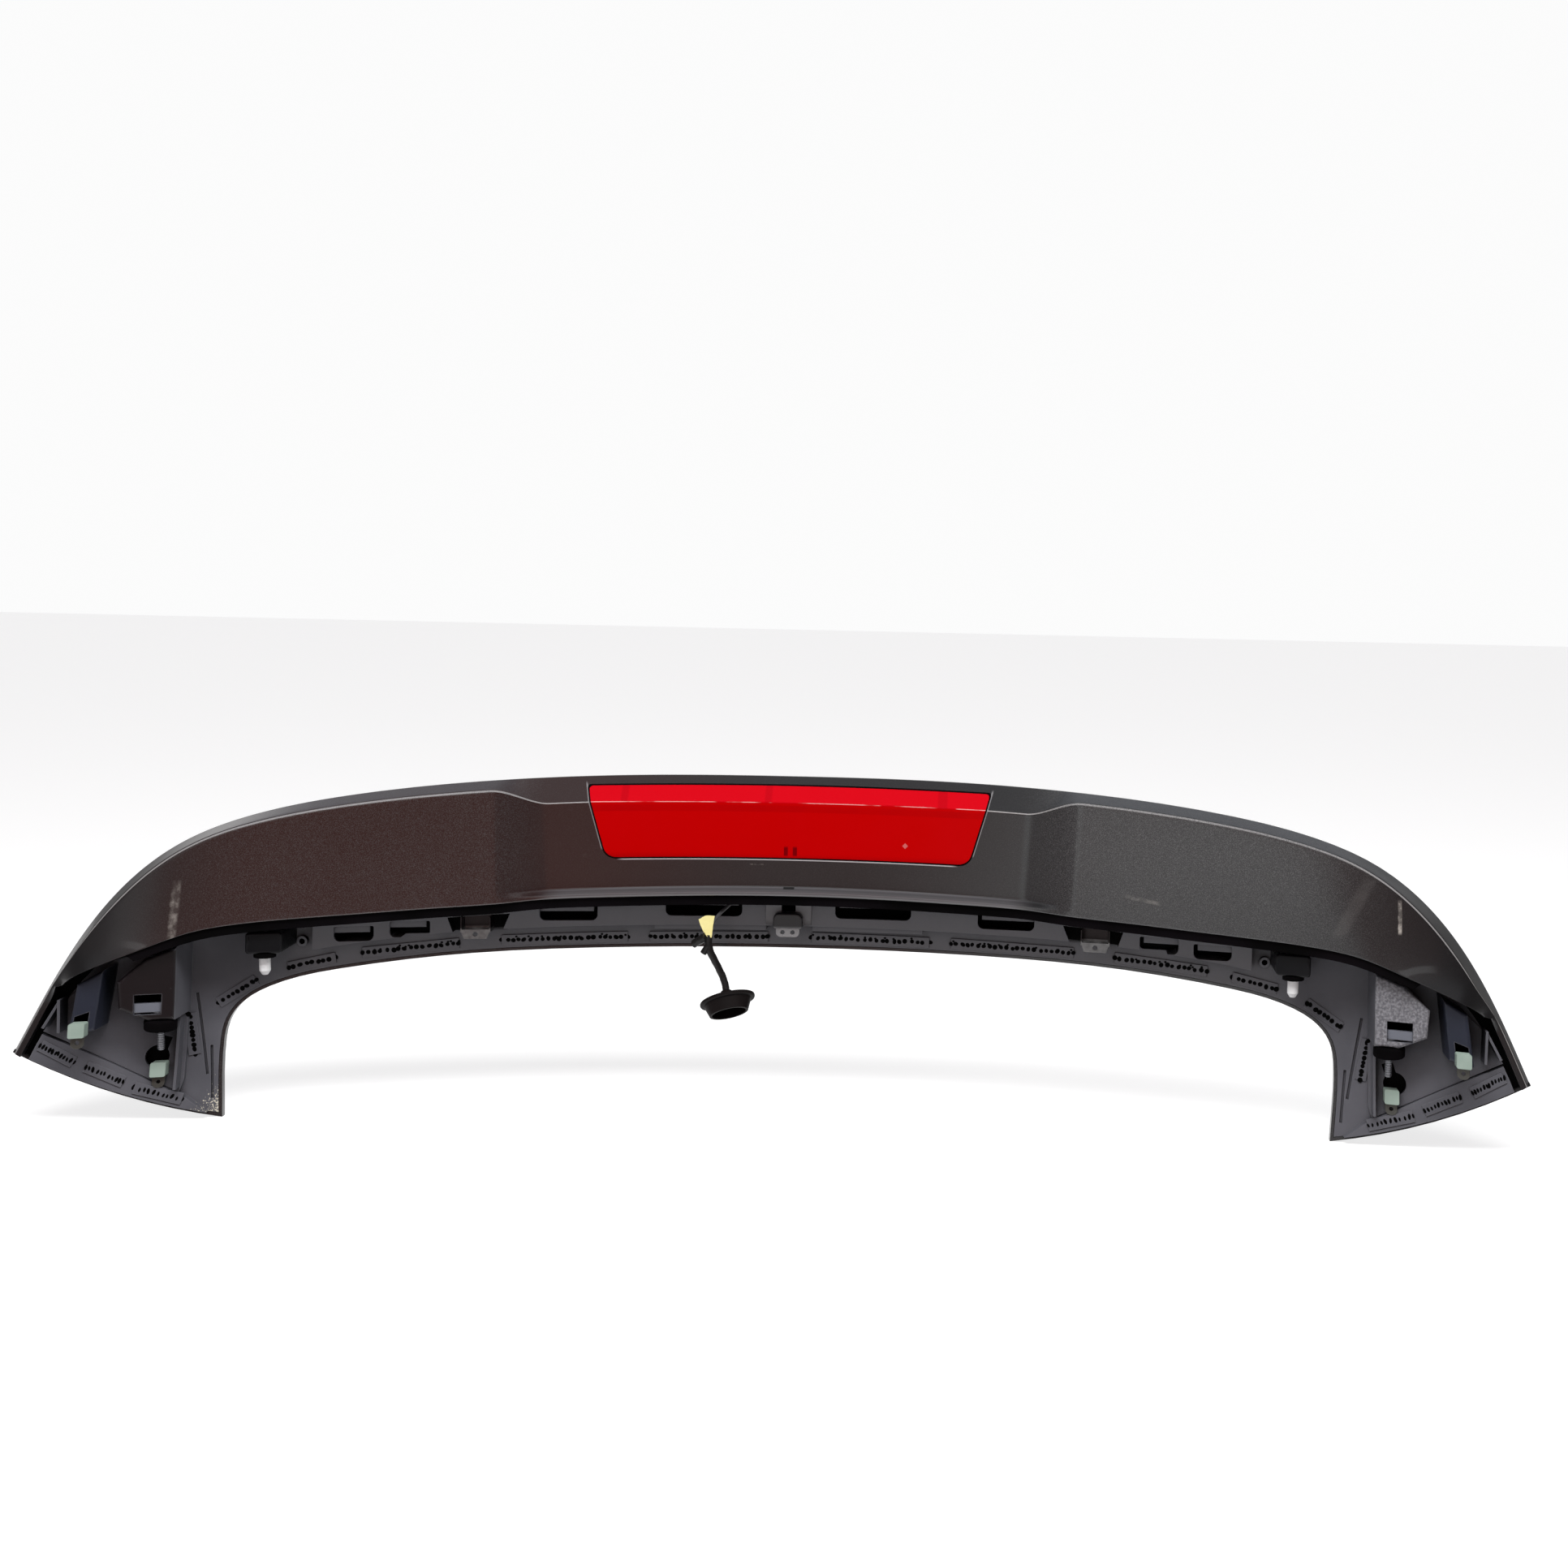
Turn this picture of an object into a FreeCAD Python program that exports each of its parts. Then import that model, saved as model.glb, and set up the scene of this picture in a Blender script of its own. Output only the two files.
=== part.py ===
import FreeCAD, Part
import os
from math import atan2, cos, hypot, pi, sin, tan

V = FreeCAD.Vector
os.makedirs("parts", exist_ok=True)

# Frame: x to the right, y away from the viewer, z up, all in millimetres.
# The shapes are drawn with z = 0 at the middle of the top edge and are moved
# to the middle of the two studs, at the lower face of their seals, when they are written.

# Form of the outer skin
CROWN = 125.0
CROWN_AT = 620.0
BULGE = 6.0
BULGE_MID = -80.0
BULGE_HALF = 80.0
SKIN_T = 3.0
HEM_H = 3.1
HEM_W = 2.5
HEM_GAP = 0.3
SEAT = 0.1

# Half outline of the top edge, from the middle to past the tip of the leg
TOP_EDGE = [(0, 0), (125, -0.9), (250, -6.6), (370, -19.3), (447.5, -35.7), (493.5, -54.2),
            (524, -75.1), (554, -106.3), (583, -151), (613.5, -217), (624, -242)]
# Half outline of the inner opening
U_EDGE = [(0, -149.8), (168, -151.7), (292, -157.2), (372, -165.8), (430.5, -179), (450, -190.4),
          (460, -204), (463.5, -225), (462.5, -255), (460, -310)]
# Arc of the leg end
LEG_END = [(440, -285.5), (543.5, -257.8), (640, -205.5)]
# Half line of the lower lip of the rear panel
LIP = [(0, -98.0), (74, -98.8), (149, -100.8), (205, -103), (231, -105), (252, -106.6), (290, -108.8),
       (347, -112.4), (402, -115.5), (446, -119), (478, -124.5), (511, -136), (545, -149), (575, -166),
       (592, -185)]

# Section of the rear panel
PANEL_T = 3.0
CREASE_R = 5.0
CREASE_N_MID = 20.0
CREASE_N_WING = 5.0
CREASE_DEPTH_MID = 22.0
CREASE_DEPTH_WING = 28.0
LIP_DEPTH_MID = 45.0
LIP_DEPTH_WING = 50.0
LEDGE_DEPTH = 34.0
RIM_N = 9.0
RIM_DEPTH = 12.0
RETURN_W = 7.5
RECESS_IN = 203.0
RECESS_OUT = 250.0

# Edge seal below the lip
SEAL_H = 8.0
SEAL_BACK = 2.5
SEAL_T = 4.0
SEAL_END = 556.0

# Lamp
LENS_T = 2.5
LENS_TOP = [(-173.0, -8.5), (0.0, -6.3), (173.0, -8.5)]
LENS_BOTTOM = [(155.0, -70.0), (0.0, -68.4), (-155.0, -70.0)]
LENS_TOP_R = 3.0
LENS_BOTTOM_R = 14.0
GASKET_W = 1.2
LENS_CLEAR = 0.05
SKIRT_TOP = -28.0
SKIRT_BOTTOM = -64.0
SKIRT_X = 146.0
SKIRT_WALL = 2.2
SKIRT_DEPTH = 16.0
HOUSING_BACK = 5.0
HOUSING_T = 2.0
BOARD_T = 1.6
LED_N = 12
LED_W = 5.0
LED_H = 2.0

# Carrier
CARRIER_T = 3.0
CARRIER_TOP = [(0, -79), (200, -81), (300, -88), (400, -96), (480, -112), (530, -135), (560, -157),
               (581, -184), (600, -222), (606, -238)]
PLATEAU_DEPTH = 20.0
PLATEAU_TOP = [(0, -86), (200, -88), (300, -96), (394, -104)]
PLATEAU_EDGE = 22.0
PLATEAU_END = 394.0
WALL = 2.5
WINDOW_R = 5.0
# Windows of the right half: x from, x to, top z, bottom z
WINDOWS = [(40, 105.5, -106, -120.5), (163, 211.5, -112, -125), (301, 333.5, -124.5, -138),
           (346, 377.5, -128, -140.5)]
POCKET = [(236, -119), (287, -122), (281, -139), (243, -136)]
LEDGE = (20, 115.5, -125.5, -133)
BOSS_B = [(490, -137), (513, -146), (533, -164), (531, -186), (509, -196), (490, -196)]
BOSS_B_DEPTH = 40.0
BOSS_B_WINDOW = (499.5, 519.5, -174.5, -190.5)
BOSS_A = [(543, -154), (562, -165), (567, -206), (548, -202)]
BOSS_A_DEPTH = 37.0
BOSS_A_WINDOW = [(551.5, -186.5), (562, -190), (563, -198), (552.5, -196)]
BOSS_EDGE_R = 2.8
LEG_FLOOR_DEPTH = 7.0
LEG_FLOOR = [(490, -137), (546, -152), (577, -180), (594, -206), (561, -224), (524, -244), (493, -260),
             (490, -250)]
LEG_FLANGE_DEPTH = 9.5
LEG_FLANGE = [(597, -206), (561, -224.5), (524, -244.5), (490, -262), (440, -300), (640, -300),
              (640, -206)]
# Ribs of the right leg: two end points and the height
RIBS = [((579, -179), (578, -205), 22.0), ((579, -180), (590, -201), 20.0), ((493.5, -198), (493.5, -256), 17.0)]
RIB_T = 2.0
KEYHOLE = (511.0, -231.0)
KEYHOLE_R = 9.0
KEYHOLE_SLOT = ((505, -215), (510, -231))
RING = (406.0, -142.0)
PAD_H = 1.0
PAD_W = 9.0
# Weld pads of the right half: two end points each
PADS = [((594, -216), (570, -231)), ((561, -235), (533, -249)), ((525, -254), (489, -265)),
        ((490.2, -198.5), (484.2, -231.6)), ((469, -191), (441, -173)), ((417, -164), (380, -157)),
        ((359, -153.5), (281, -147)), ((246, -145), (140, -142)), ((121, -142), (19, -140.7))]

# Grooves beside the upright pad: two end points each
GROOVES = [((485.5, -182), (474, -248)), ((472.5, -225), (468.7, -267))]
GROOVE_W = 2.2
GROOVE_DEPTH = 2.2
# Tongue behind the upper part of each window, and the ledge behind the lower part of the boss window
TONGUE_IN = 3.5
TONGUE_DROP = 5.5
TONGUE_T = 3.0
BOSS_LEDGE_H = 8.5
BOSS_LEDGE_T = 4.0
BOSS_LEDGE_CLEAR = 0.3

# Studs
STUD_X = 503.0
STUD_Y_OUT = 30.0
STUD_R = 3.0
STUD_SHANK_R = 3.4
STUD_LEN = 26.0
STUD_HEAD_R = 7.0
STUD_HEAD_H = 4.0
STUD_SEAL_R = 13.0
STUD_SEAL_H = 9.5
STUD_CLEAR = 0.1
STUD_SEAT_Z = -196.0

# Locating pegs
PEG_X = 426.0
PEG_OUT = 34.0
PEG_R = 4.6
PEG_SHANK_R = 3.5
PEG_TIP_Z = -163.5
PEG_HEAD_R = 6.0
PEG_HEAD_H = 2.0
PEG_NOSE = 3.5
HOLDER = (411, 439, -127, -145)
HOLDER_DEPTH = 42.0
PEG_SEAL_R = 9.0
PEG_SEAL_H = 3.5

# Square nuts in the bosses
NUT_W = 11.5
NUT_LEN = 8.0
NUT_A = (557.5, -199.5)
NUT_B = (507.5, -240.0)
TAB_W = 9.5
TAB_LEN = 9.0
TAB_T = 1.2
TAB_HOLE_R = 1.6

# Clips
SPRING_CLIP = (251, 275.5, -121, -134)
SPRING_T = 1.0
SPRING_REACH = 13.0
SPRING_TONGUE = 5.5
SPRING_HOLE_R = 2.0
POCKET_DEPTH = 11.0
CENTRE_SLOT = (-6, 6, -106, -117.5)
CLIP_PLATE = (6.0, 19.5, -108, -126.5)
CLIP_PLATE_T = 1.2
CLIP_HOOD = (-12.5, 12.5, -115.5, -128.5)
CLIP_HOOD_H = 9.0
CLIP_TAIL = (-10.0, 10.0, -127.5, -136.0)
CLIP_TAIL_T = 3.5
CLIP_HOLE_X = 4.3
CLIP_HOLE_Z = -132.0
CLIP_HOLE_R = 1.9

# Wiring
LEAD_R = 1.5
# Route of the lead: x, distance in front of the skin, z
LEAD = [(-30, 13, -64.1), (-30, 13, -72.9), (-31.5, 17.5, -80.4), (-36, 25.5, -88), (-46, 27, -106),
        (-62, 42, -119), (-65, 60, -137), (-54.5, 58, -156.5)]
SLEEVE_FROM = 4
TAPE_FROM = 5
LEAD_END = (-46.3, 65.6, -175.2)
LEAD_RUN = 10.0
SLEEVE_R = 3.4
SLEEVE_TOP_Z = -131.0
TAPE_T = 0.8
TAPE_OUT = 2.0
GROMMET_RX = 23.5
GROMMET_RY = 13.0
GROMMET_FLANGE = 4.0
GROMMET_LIP_R = 1.7
GROMMET_CUP_RX = 20.5
GROMMET_CUP_RY = 10.5
GROMMET_CUP_H = 10.5
GROMMET_CUP_TAPER = 4.0
GROMMET_WALL = 2.0
GROMMET_NECK = 6.0
GROMMET_TILT = 15.0
GROMMET_TIP = 42.0


# Small helpers
def depth(x, z):
    return BULGE * (1 - ((z - BULGE_MID) / BULGE_HALF) ** 2) - CROWN * (x / CROWN_AT) ** 2


def slab(front, back, lean=0.0, lean_at=0.0):
    # A solid whose two large faces keep a fixed distance in y from the skin;
    # with lean, that distance changes evenly with z
    x1, x2, z1, z2 = -660.0, 660.0, -330.0, 40.0
    kx = CROWN / CROWN_AT ** 2
    kz = BULGE / BULGE_HALF ** 2
    ax = [(x1, -kx * x1 * x1), (0.0, -kx * x1 * x2), (x2, -kx * x2 * x2)]
    az = []
    for za, zb in ((z1, z1), (z1, z2), (z2, z2)):
        az.append(((za + zb) / 2, -kz * (za - BULGE_MID) * (zb - BULGE_MID)))
    surface = Part.BezierSurface()
    surface.increase(2, 2)
    for i in range(3):
        for j in range(3):
            y = BULGE + ax[i][1] + az[j][1] + front + lean * (az[j][0] - lean_at)
            surface.setPole(i + 1, j + 1, V(ax[i][0], y, az[j][0]))
    return surface.toShape().extrude(V(0, back - front, 0))


FRONT = -420.0
BACK = 120.0


def both_sides(half):
    left = [(-x, z) for x, z in reversed(half) if x > 0]
    return left + list(half)


def curve(points):
    line = Part.BSplineCurve()
    line.interpolate([V(x, FRONT, z) for x, z in points])
    return line


def shifted(points, d):
    # The same line moved by d to the left of its direction
    out = []
    for i, (x, z) in enumerate(points):
        xa, za = points[max(i - 1, 0)]
        xb, zb = points[min(i + 1, len(points) - 1)]
        size = hypot(xb - xa, zb - za)
        out.append((x - d * (zb - za) / size, z + d * (xb - xa) / size))
    return out


def prism_of(edges):
    wire = Part.Wire(Part.__sortEdges__(edges))
    return Part.Face(wire).extrude(V(0, BACK - FRONT, 0))


def lines(points):
    pts = [V(x, FRONT, z) for x, z in points]
    return [Part.makeLine(a, b) for a, b in zip(pts, pts[1:])]


def prism(points):
    return prism_of(lines(list(points) + [points[0]]))


def under_curve(points, low):
    # Prism of all that lies below a curve, down to the level low
    edge = curve(points).toShape()
    a, b = points[0], points[-1]
    return prism_of([edge] + lines([b, (b[0], low), (a[0], low), a]))


def mirror(shape):
    return shape.mirror(V(0, 0, 0), V(1, 0, 0))


def rounded(points, radii):
    # Prism with rounded corners
    solid = prism(points)
    for (x, z), r in zip(points, radii):
        if r > 0:
            near = [e for e in solid.Edges if is_upright(e, x, z)]
            solid = solid.makeFillet(r, near)
    return solid


def is_upright(edge, x, z):
    ends = [v.Point for v in edge.Vertexes]
    return len(ends) == 2 and all(abs(p.x - x) < 0.01 and abs(p.z - z) < 0.01 for p in ends)


def box_window(x0, x1, top, low, r):
    return rounded([(x0, top), (x1, top), (x1, low), (x0, low)], [1.5, 1.5, r, r])


def bar(a, b, width):
    # Prism of a straight strip from a to b
    size = hypot(b[0] - a[0], b[1] - a[1])
    nx, nz = -(b[1] - a[1]) / size * width / 2, (b[0] - a[0]) / size * width / 2
    return prism([(a[0] + nx, a[1] + nz), (b[0] + nx, b[1] + nz), (b[0] - nx, b[1] - nz),
                  (a[0] - nx, a[1] - nz)])


def inset(points, d):
    # Polygon with each side moved inwards by d; the points run clockwise seen from the front
    out = []
    n = len(points)
    for i in range(n):
        p, q, r = points[i - 1], points[i], points[(i + 1) % n]
        u = unit(q[0] - p[0], q[1] - p[1])
        w = unit(r[0] - q[0], r[1] - q[1])
        nx, nz = u[1] + w[1], -u[0] - w[0]
        k = d * 2 / (nx * nx + nz * nz)
        out.append((q[0] + nx * k, q[1] + nz * k))
    return out


def unit(a, b):
    size = hypot(a, b)
    return a / size, b / size


def clockwise(points):
    area = sum(p[0] * q[1] - q[0] * p[1] for p, q in zip(points, points[1:] + points[:1]))
    return points if area < 0 else list(reversed(points))


def cylinder(r, length, base, direction):
    return Part.makeCylinder(r, length, V(*base), V(*direction))


def write(name, shape):
    moved = shape.copy()
    moved.translate(V(0, -STUD_Y, -SEAL_LOW_Z))
    if not moved.isValid():
        print("not valid:", name)
    moved.exportStep("parts/" + name + ".step")
    box = moved.BoundBox
    print(name, len(moved.Solids), round(moved.Volume), [round(v, 1) for v in (
        box.XMin, box.XMax, box.YMin, box.YMax, box.ZMin, box.ZMax)])


STUD_Y = depth(STUD_X, STUD_SEAT_Z) - STUD_Y_OUT
SEAL_LOW_Z = STUD_SEAT_Z - SEAT / 2 - STUD_SEAL_H

# Outer prism and the cuts that shape the horseshoe
top_points = both_sides(TOP_EDGE)
outer = under_curve(top_points, -400.0)


def opening(d):
    return under_curve(shifted(both_sides(U_EDGE), d), -420.0)


def leg_cut(d):
    pts = [V(x, FRONT, z + 1.12 * d) for x, z in LEG_END]
    arc = Part.Arc(*pts).toShape()
    a, b = pts[0], pts[2]
    close = lines([(b.x, b.z), (b.x, -420.0), (a.x, -420.0), (a.x, a.z)])
    right = prism_of([arc] + close)
    return [right, mirror(right)]


def horseshoe(base, d_open, d_leg):
    return base.cut([opening(d_open)] + leg_cut(d_leg))


# Top skin with its turned hem round the opening and the leg ends
body = horseshoe(outer, 0.0, 0.0)
skin = body.common(slab(0.0, SKIN_T))
hem = body.cut(horseshoe(outer, HEM_W, HEM_W)).common(slab(-HEM_H, 0.0))
top_skin = skin.fuse(hem).removeSplitter()


# Sections of the rear panel
def blend(x, x0, x1, v0, v1):
    t = min(max((x - x0) / (x1 - x0), 0.0), 1.0)
    return v0 + (v1 - v0) * t * t * (3 - 2 * t)


spine = curve(top_points)


def spine_at(x):
    lo, hi = spine.FirstParameter, spine.LastParameter
    for _ in range(60):
        mid = (lo + hi) / 2
        if spine.value(mid).x < x:
            lo = mid
        else:
            hi = mid
    p = spine.value(lo)
    t = spine.tangent(lo)[0]
    size = hypot(t.x, t.z)
    return p.x, p.z, t.z / size, -t.x / size


lip_curve = curve(both_sides(LIP))


def lip_z(x):
    lo, hi = lip_curve.FirstParameter, lip_curve.LastParameter
    for _ in range(50):
        mid = (lo + hi) / 2
        if lip_curve.value(mid).x < x:
            lo = mid
        else:
            hi = mid
    return lip_curve.value(lo).z


def lip_distance(sx, sz, nx, nz):
    lo, hi = 0.0, 120.0
    for _ in range(40):
        mid = (lo + hi) / 2
        x, z = sx + mid * nx, sz + mid * nz
        if abs(x) < 591.0 and z > lip_z(x):
            lo = mid
        else:
            hi = mid
    return lo


class Station:
    # One section plane across the top edge, with the corners of the panel in it
    def __init__(self, x):
        self.sx, self.sz, self.nx, self.nz = spine_at(x)
        a = abs(x)
        wing = blend(a, RECESS_IN, RECESS_OUT, 0.0, 1.0)
        rim = blend(a, 574.0, 597.0, 0.0, 1.0)
        nc = CREASE_N_MID + (CREASE_N_WING - CREASE_N_MID) * wing + blend(a, 450, 560, 0.0, 4.0)
        nc += (4.0 - nc) * rim
        crease = CREASE_DEPTH_MID + (CREASE_DEPTH_WING - CREASE_DEPTH_MID) * wing
        crease += (RIM_DEPTH - crease) * rim
        lip = LIP_DEPTH_MID + (LIP_DEPTH_WING - LIP_DEPTH_MID) * wing
        lip += (RIM_DEPTH + 1.0 - lip) * rim
        nl = RIM_N
        if a < 590.0:
            nl = max(RIM_N, lip_distance(self.sx, self.sz, self.nx, self.nz))
        self.r = CREASE_R + (2.2 - CREASE_R) * rim
        self.A = (0.0, self.y(0.0) - SEAT)
        self.C = (nc, self.y(nc) - crease)
        self.L = (nl, self.y(nl) - lip)
        mid_b = (nl - 5.5, self.y(nl - 5.5) - LEDGE_DEPTH)
        mid_e = (nl - 3.5, self.y(nl - 3.5) - LIP_DEPTH_MID)
        self.B = self.mix(mid_b, self.along(0.90), wing)
        self.E = self.mix(mid_e, self.along(0.95), wing)
        self.R = (nl, self.L[1] + RETURN_W)
        self.R2 = (nl - 2.6, self.L[1] + RETURN_W)
        self.B2 = (self.B[0] + 0.6 - 1.6 * wing, self.B[1] + PANEL_T)

    def y(self, n):
        return depth(self.sx + n * self.nx, self.sz + n * self.nz)

    def along(self, t):
        return tuple(c + (q - c) * t for c, q in zip(self.C, self.L))

    @staticmethod
    def mix(p, q, t):
        return tuple(a + (b - a) * t for a, b in zip(p, q))

    def at(self, p):
        return V(self.sx + p[0] * self.nx, p[1], self.sz + p[0] * self.nz)

    def crease(self, d):
        # The points of the strip, the rounded crease and the panel, d below the surface
        u = unit(self.C[0] - self.A[0], self.C[1] - self.A[1])
        w = unit(self.B[0] - self.C[0], self.B[1] - self.C[1])
        turn = atan2(u[0] * w[1] - u[1] * w[0], u[0] * w[0] + u[1] * w[1])
        reach = self.r * tan(turn / 2)
        start = (self.C[0] - u[0] * reach, self.C[1] - u[1] * reach)
        end = (self.C[0] + w[0] * reach, self.C[1] + w[1] * reach)
        centre = (start[0] - u[1] * self.r, start[1] + u[0] * self.r)
        a1 = atan2(start[1] - centre[1], start[0] - centre[0])
        mid = (centre[0] + (self.r - d) * cos(a1 + turn / 2), centre[1] + (self.r - d) * sin(a1 + turn / 2))
        p = (start[0] - u[1] * d, start[1] + u[0] * d)
        q = (end[0] - w[1] * d, end[1] + w[0] * d)
        k = (self.A[1] - p[1]) / -u[1]
        top = (p[0] - u[0] * k, self.A[1])
        low = (self.B[0] - w[1] * d, self.B[1] + w[0] * d)
        return top, p, mid, q, low

    def wire(self):
        # Closed outline of the rear panel in this plane
        t0, p0, m0, q0, _ = [self.at(p) for p in self.crease(0.0)]
        t1, p1, m1, q1, _ = [self.at(p) for p in self.crease(min(PANEL_T, self.r - 0.6))]
        b, e, l, r, r2, b2 = [self.at(p) for p in (self.B, self.E, self.L, self.R, self.R2, self.B2)]
        edges = [Part.makeLine(t0, p0), Part.Arc(p0, m0, q0).toShape()]
        chain = [q0, b, e, l, r, r2, b2, q1]
        edges += [Part.makeLine(i, j) for i, j in zip(chain, chain[1:])]
        edges += [Part.Arc(q1, m1, p1).toShape(), Part.makeLine(p1, t1), Part.makeLine(t1, t0)]
        return Part.Wire(edges)

    def band(self, d0, d1):
        # Closed outline of the strip and panel between two depths below the surface
        t0, p0, m0, q0, b0 = [self.at(p) for p in self.crease(d0)]
        t1, p1, m1, q1, b1 = [self.at(p) for p in self.crease(d1)]
        edges = [Part.makeLine(t0, p0), Part.Arc(p0, m0, q0).toShape(), Part.makeLine(q0, b0),
                 Part.makeLine(b0, b1), Part.makeLine(b1, q1), Part.Arc(q1, m1, p1).toShape(),
                 Part.makeLine(p1, t1), Part.makeLine(t1, t0)]
        return Part.Wire(edges)

    def seal(self):
        y0 = self.L[1] + SEAL_BACK
        n0 = self.L[0] + 0.05
        corners = [(n0, y0), (n0 + SEAL_H, y0), (n0 + SEAL_H, y0 + SEAL_T), (n0, y0 + SEAL_T)]
        pts = [self.at(p) for p in corners]
        return Part.makePolygon(pts + [pts[0]])


PANEL_X = [0, 39, 78, 117, 156, 195, 203, 209, 215, 221, 227, 233, 239, 245, 252, 275, 300, 325, 350, 375,
           400, 425, 450, 470, 490, 505, 520, 532, 543, 552, 560, 567, 573, 579, 585, 591, 597, 608, 620]
stations = [Station(x) for x in [-v for v in reversed(PANEL_X) if v > 0] + PANEL_X]
panel_shell = Part.makeLoft([s.wire() for s in stations], True, True)


# Lamp outline, moved inwards by d
def lens_prism(d):
    slope = (LENS_TOP[2][0] - LENS_BOTTOM[0][0]) / (LENS_TOP[2][1] - LENS_BOTTOM[0][1])
    side = d * hypot(1.0, slope)

    def down(x, z):
        return x - side - slope * d if x > 0 else x + side + slope * d, z - d

    def up(x, z):
        return x - side + slope * d if x > 0 else x + side - slope * d, z + d

    t = [down(*LENS_TOP[0]), (0.0, LENS_TOP[1][1] - d), down(*LENS_TOP[2])]
    b = [up(*LENS_BOTTOM[0]), (0.0, LENS_BOTTOM[1][1] + d), up(*LENS_BOTTOM[2])]
    edges = [Part.Arc(*[V(x, FRONT, z) for x, z in pts]).toShape() for pts in (t, b)]
    edges += lines([t[2], b[0]]) + lines([b[2], t[0]])
    solid = prism_of(edges)
    for (x, z), r in ((t[0], LENS_TOP_R), (t[2], LENS_TOP_R), (b[0], LENS_BOTTOM_R), (b[2], LENS_BOTTOM_R)):
        near = [e for e in solid.Edges if is_upright(e, x, z)]
        solid = solid.makeFillet(max(r - d, 0.8), near)
    return solid


lamp_stations = [s for s in stations if abs(s.sx) < RECESS_IN - 5.0]


def lamp_band(d0, d1):
    return Part.makeLoft([s.band(d0, d1) for s in lamp_stations], True, True)


aperture = lens_prism(0.0)
rear_panel = panel_shell.cut([aperture] + leg_cut(HEM_W + HEM_GAP))

# Edge seal under the lip
edge_seal = Part.makeLoft([s.seal() for s in stations if abs(s.sx) < SEAL_END + 5.0], True, True)

# Lens with a skirt on its inner side, and the gasket round it
LEAN = (LEDGE_DEPTH - CREASE_DEPTH_MID) / 73.0


def rectangle(x0, x1, top, low):
    return prism([(x0, top), (x1, top), (x1, low), (x0, low)])


skirt_out = rectangle(-SKIRT_X, SKIRT_X, SKIRT_TOP, SKIRT_BOTTOM)
skirt_in = rectangle(-SKIRT_X + SKIRT_WALL, SKIRT_X - SKIRT_WALL, SKIRT_TOP - SKIRT_WALL,
                     SKIRT_BOTTOM + SKIRT_WALL)
skirt = skirt_out.cut(skirt_in).common(slab(0.6 - CREASE_DEPTH_MID, 40.0, LEAN, -CREASE_N_MID))
skirt = skirt.common(slab(-80.0, -SKIRT_DEPTH))
lens = lamp_band(0.0, LENS_T).common(lens_prism(GASKET_W + LENS_CLEAR))
lens = lens.fuse(skirt)
gasket = lamp_band(0.3, LENS_T + 0.3).common(lens_prism(LENS_CLEAR).cut(lens_prism(GASKET_W)))

# Lamp housing, board and diodes behind the lens
plate_front = HOUSING_BACK + HOUSING_T
housing = skirt_out.common(slab(-SKIRT_DEPTH + SEAT / 2, -HOUSING_BACK))
housing = housing.cut(skirt_in.common(slab(-SKIRT_DEPTH - 1.0, -plate_front)))
board_front = plate_front + SEAT / 2 + BOARD_T
board_area = rectangle(-SKIRT_X + 6.0, SKIRT_X - 6.0, SKIRT_TOP - 8.0, SKIRT_BOTTOM + 8.0)
board = board_area.common(slab(-board_front, -plate_front - SEAT / 2))
led_mid = (SKIRT_TOP + SKIRT_BOTTOM) / 2
led_step = (2 * SKIRT_X - 40.0) / (LED_N - 1)
leds = []
for i in range(LED_N):
    cx = -SKIRT_X + 20.0 + i * led_step
    leds.append(rectangle(cx - LED_W / 2, cx + LED_W / 2, led_mid + LED_W / 2, led_mid - LED_W / 2))
led_slab = slab(-board_front - SEAT / 2 - LED_H, -board_front - SEAT / 2)
diodes = Part.makeCompound([d.common(led_slab) for d in leds])

# Carrier: outer blocks first, then everything that is hollow in them
flange_in = HEM_W + HEM_GAP
carrier_area = horseshoe(under_curve(both_sides(CARRIER_TOP), -400.0), flange_in, flange_in)
thin_area = horseshoe(under_curve(shifted(both_sides(CARRIER_TOP), -WALL), -400.0), flange_in + WALL,
                      flange_in + WALL)
floor = carrier_area.common(slab(-CARRIER_T - SEAT, -SEAT))


def raised(area, height):
    return area.common(slab(-height, -SEAT))


def hollow(area, height):
    return area.common(slab(WALL - height, 5.0))


def soft_front(solid, height, r):
    # Rounds the edges of the face that lies at this height in front of the skin
    near = []
    for edge in solid.Edges:
        m = edge.valueAt((edge.FirstParameter + edge.LastParameter) / 2)
        if abs(depth(m.x, m.z) - height - m.y) < 0.05:
            near.append(edge)
    return solid.makeFillet(r, near)


deck_area = under_curve(both_sides(PLATEAU_TOP), -400.0).cut(opening(PLATEAU_EDGE))
deck_inner = [(min(x, PLATEAU_END - WALL), z - WALL) for x, z in PLATEAU_TOP]
deck_in = under_curve(both_sides(deck_inner), -400.0).cut(opening(PLATEAU_EDGE + WALL))
pocket = prism(POCKET)
pocket_wall = prism(inset(clockwise(POCKET), -WALL))
boss_a = prism(BOSS_A)
boss_b = prism(BOSS_B)
leg_floor = prism(LEG_FLOOR)
leg_flange = prism(LEG_FLANGE).common(carrier_area)
terrace = rectangle(*LEDGE)

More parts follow.
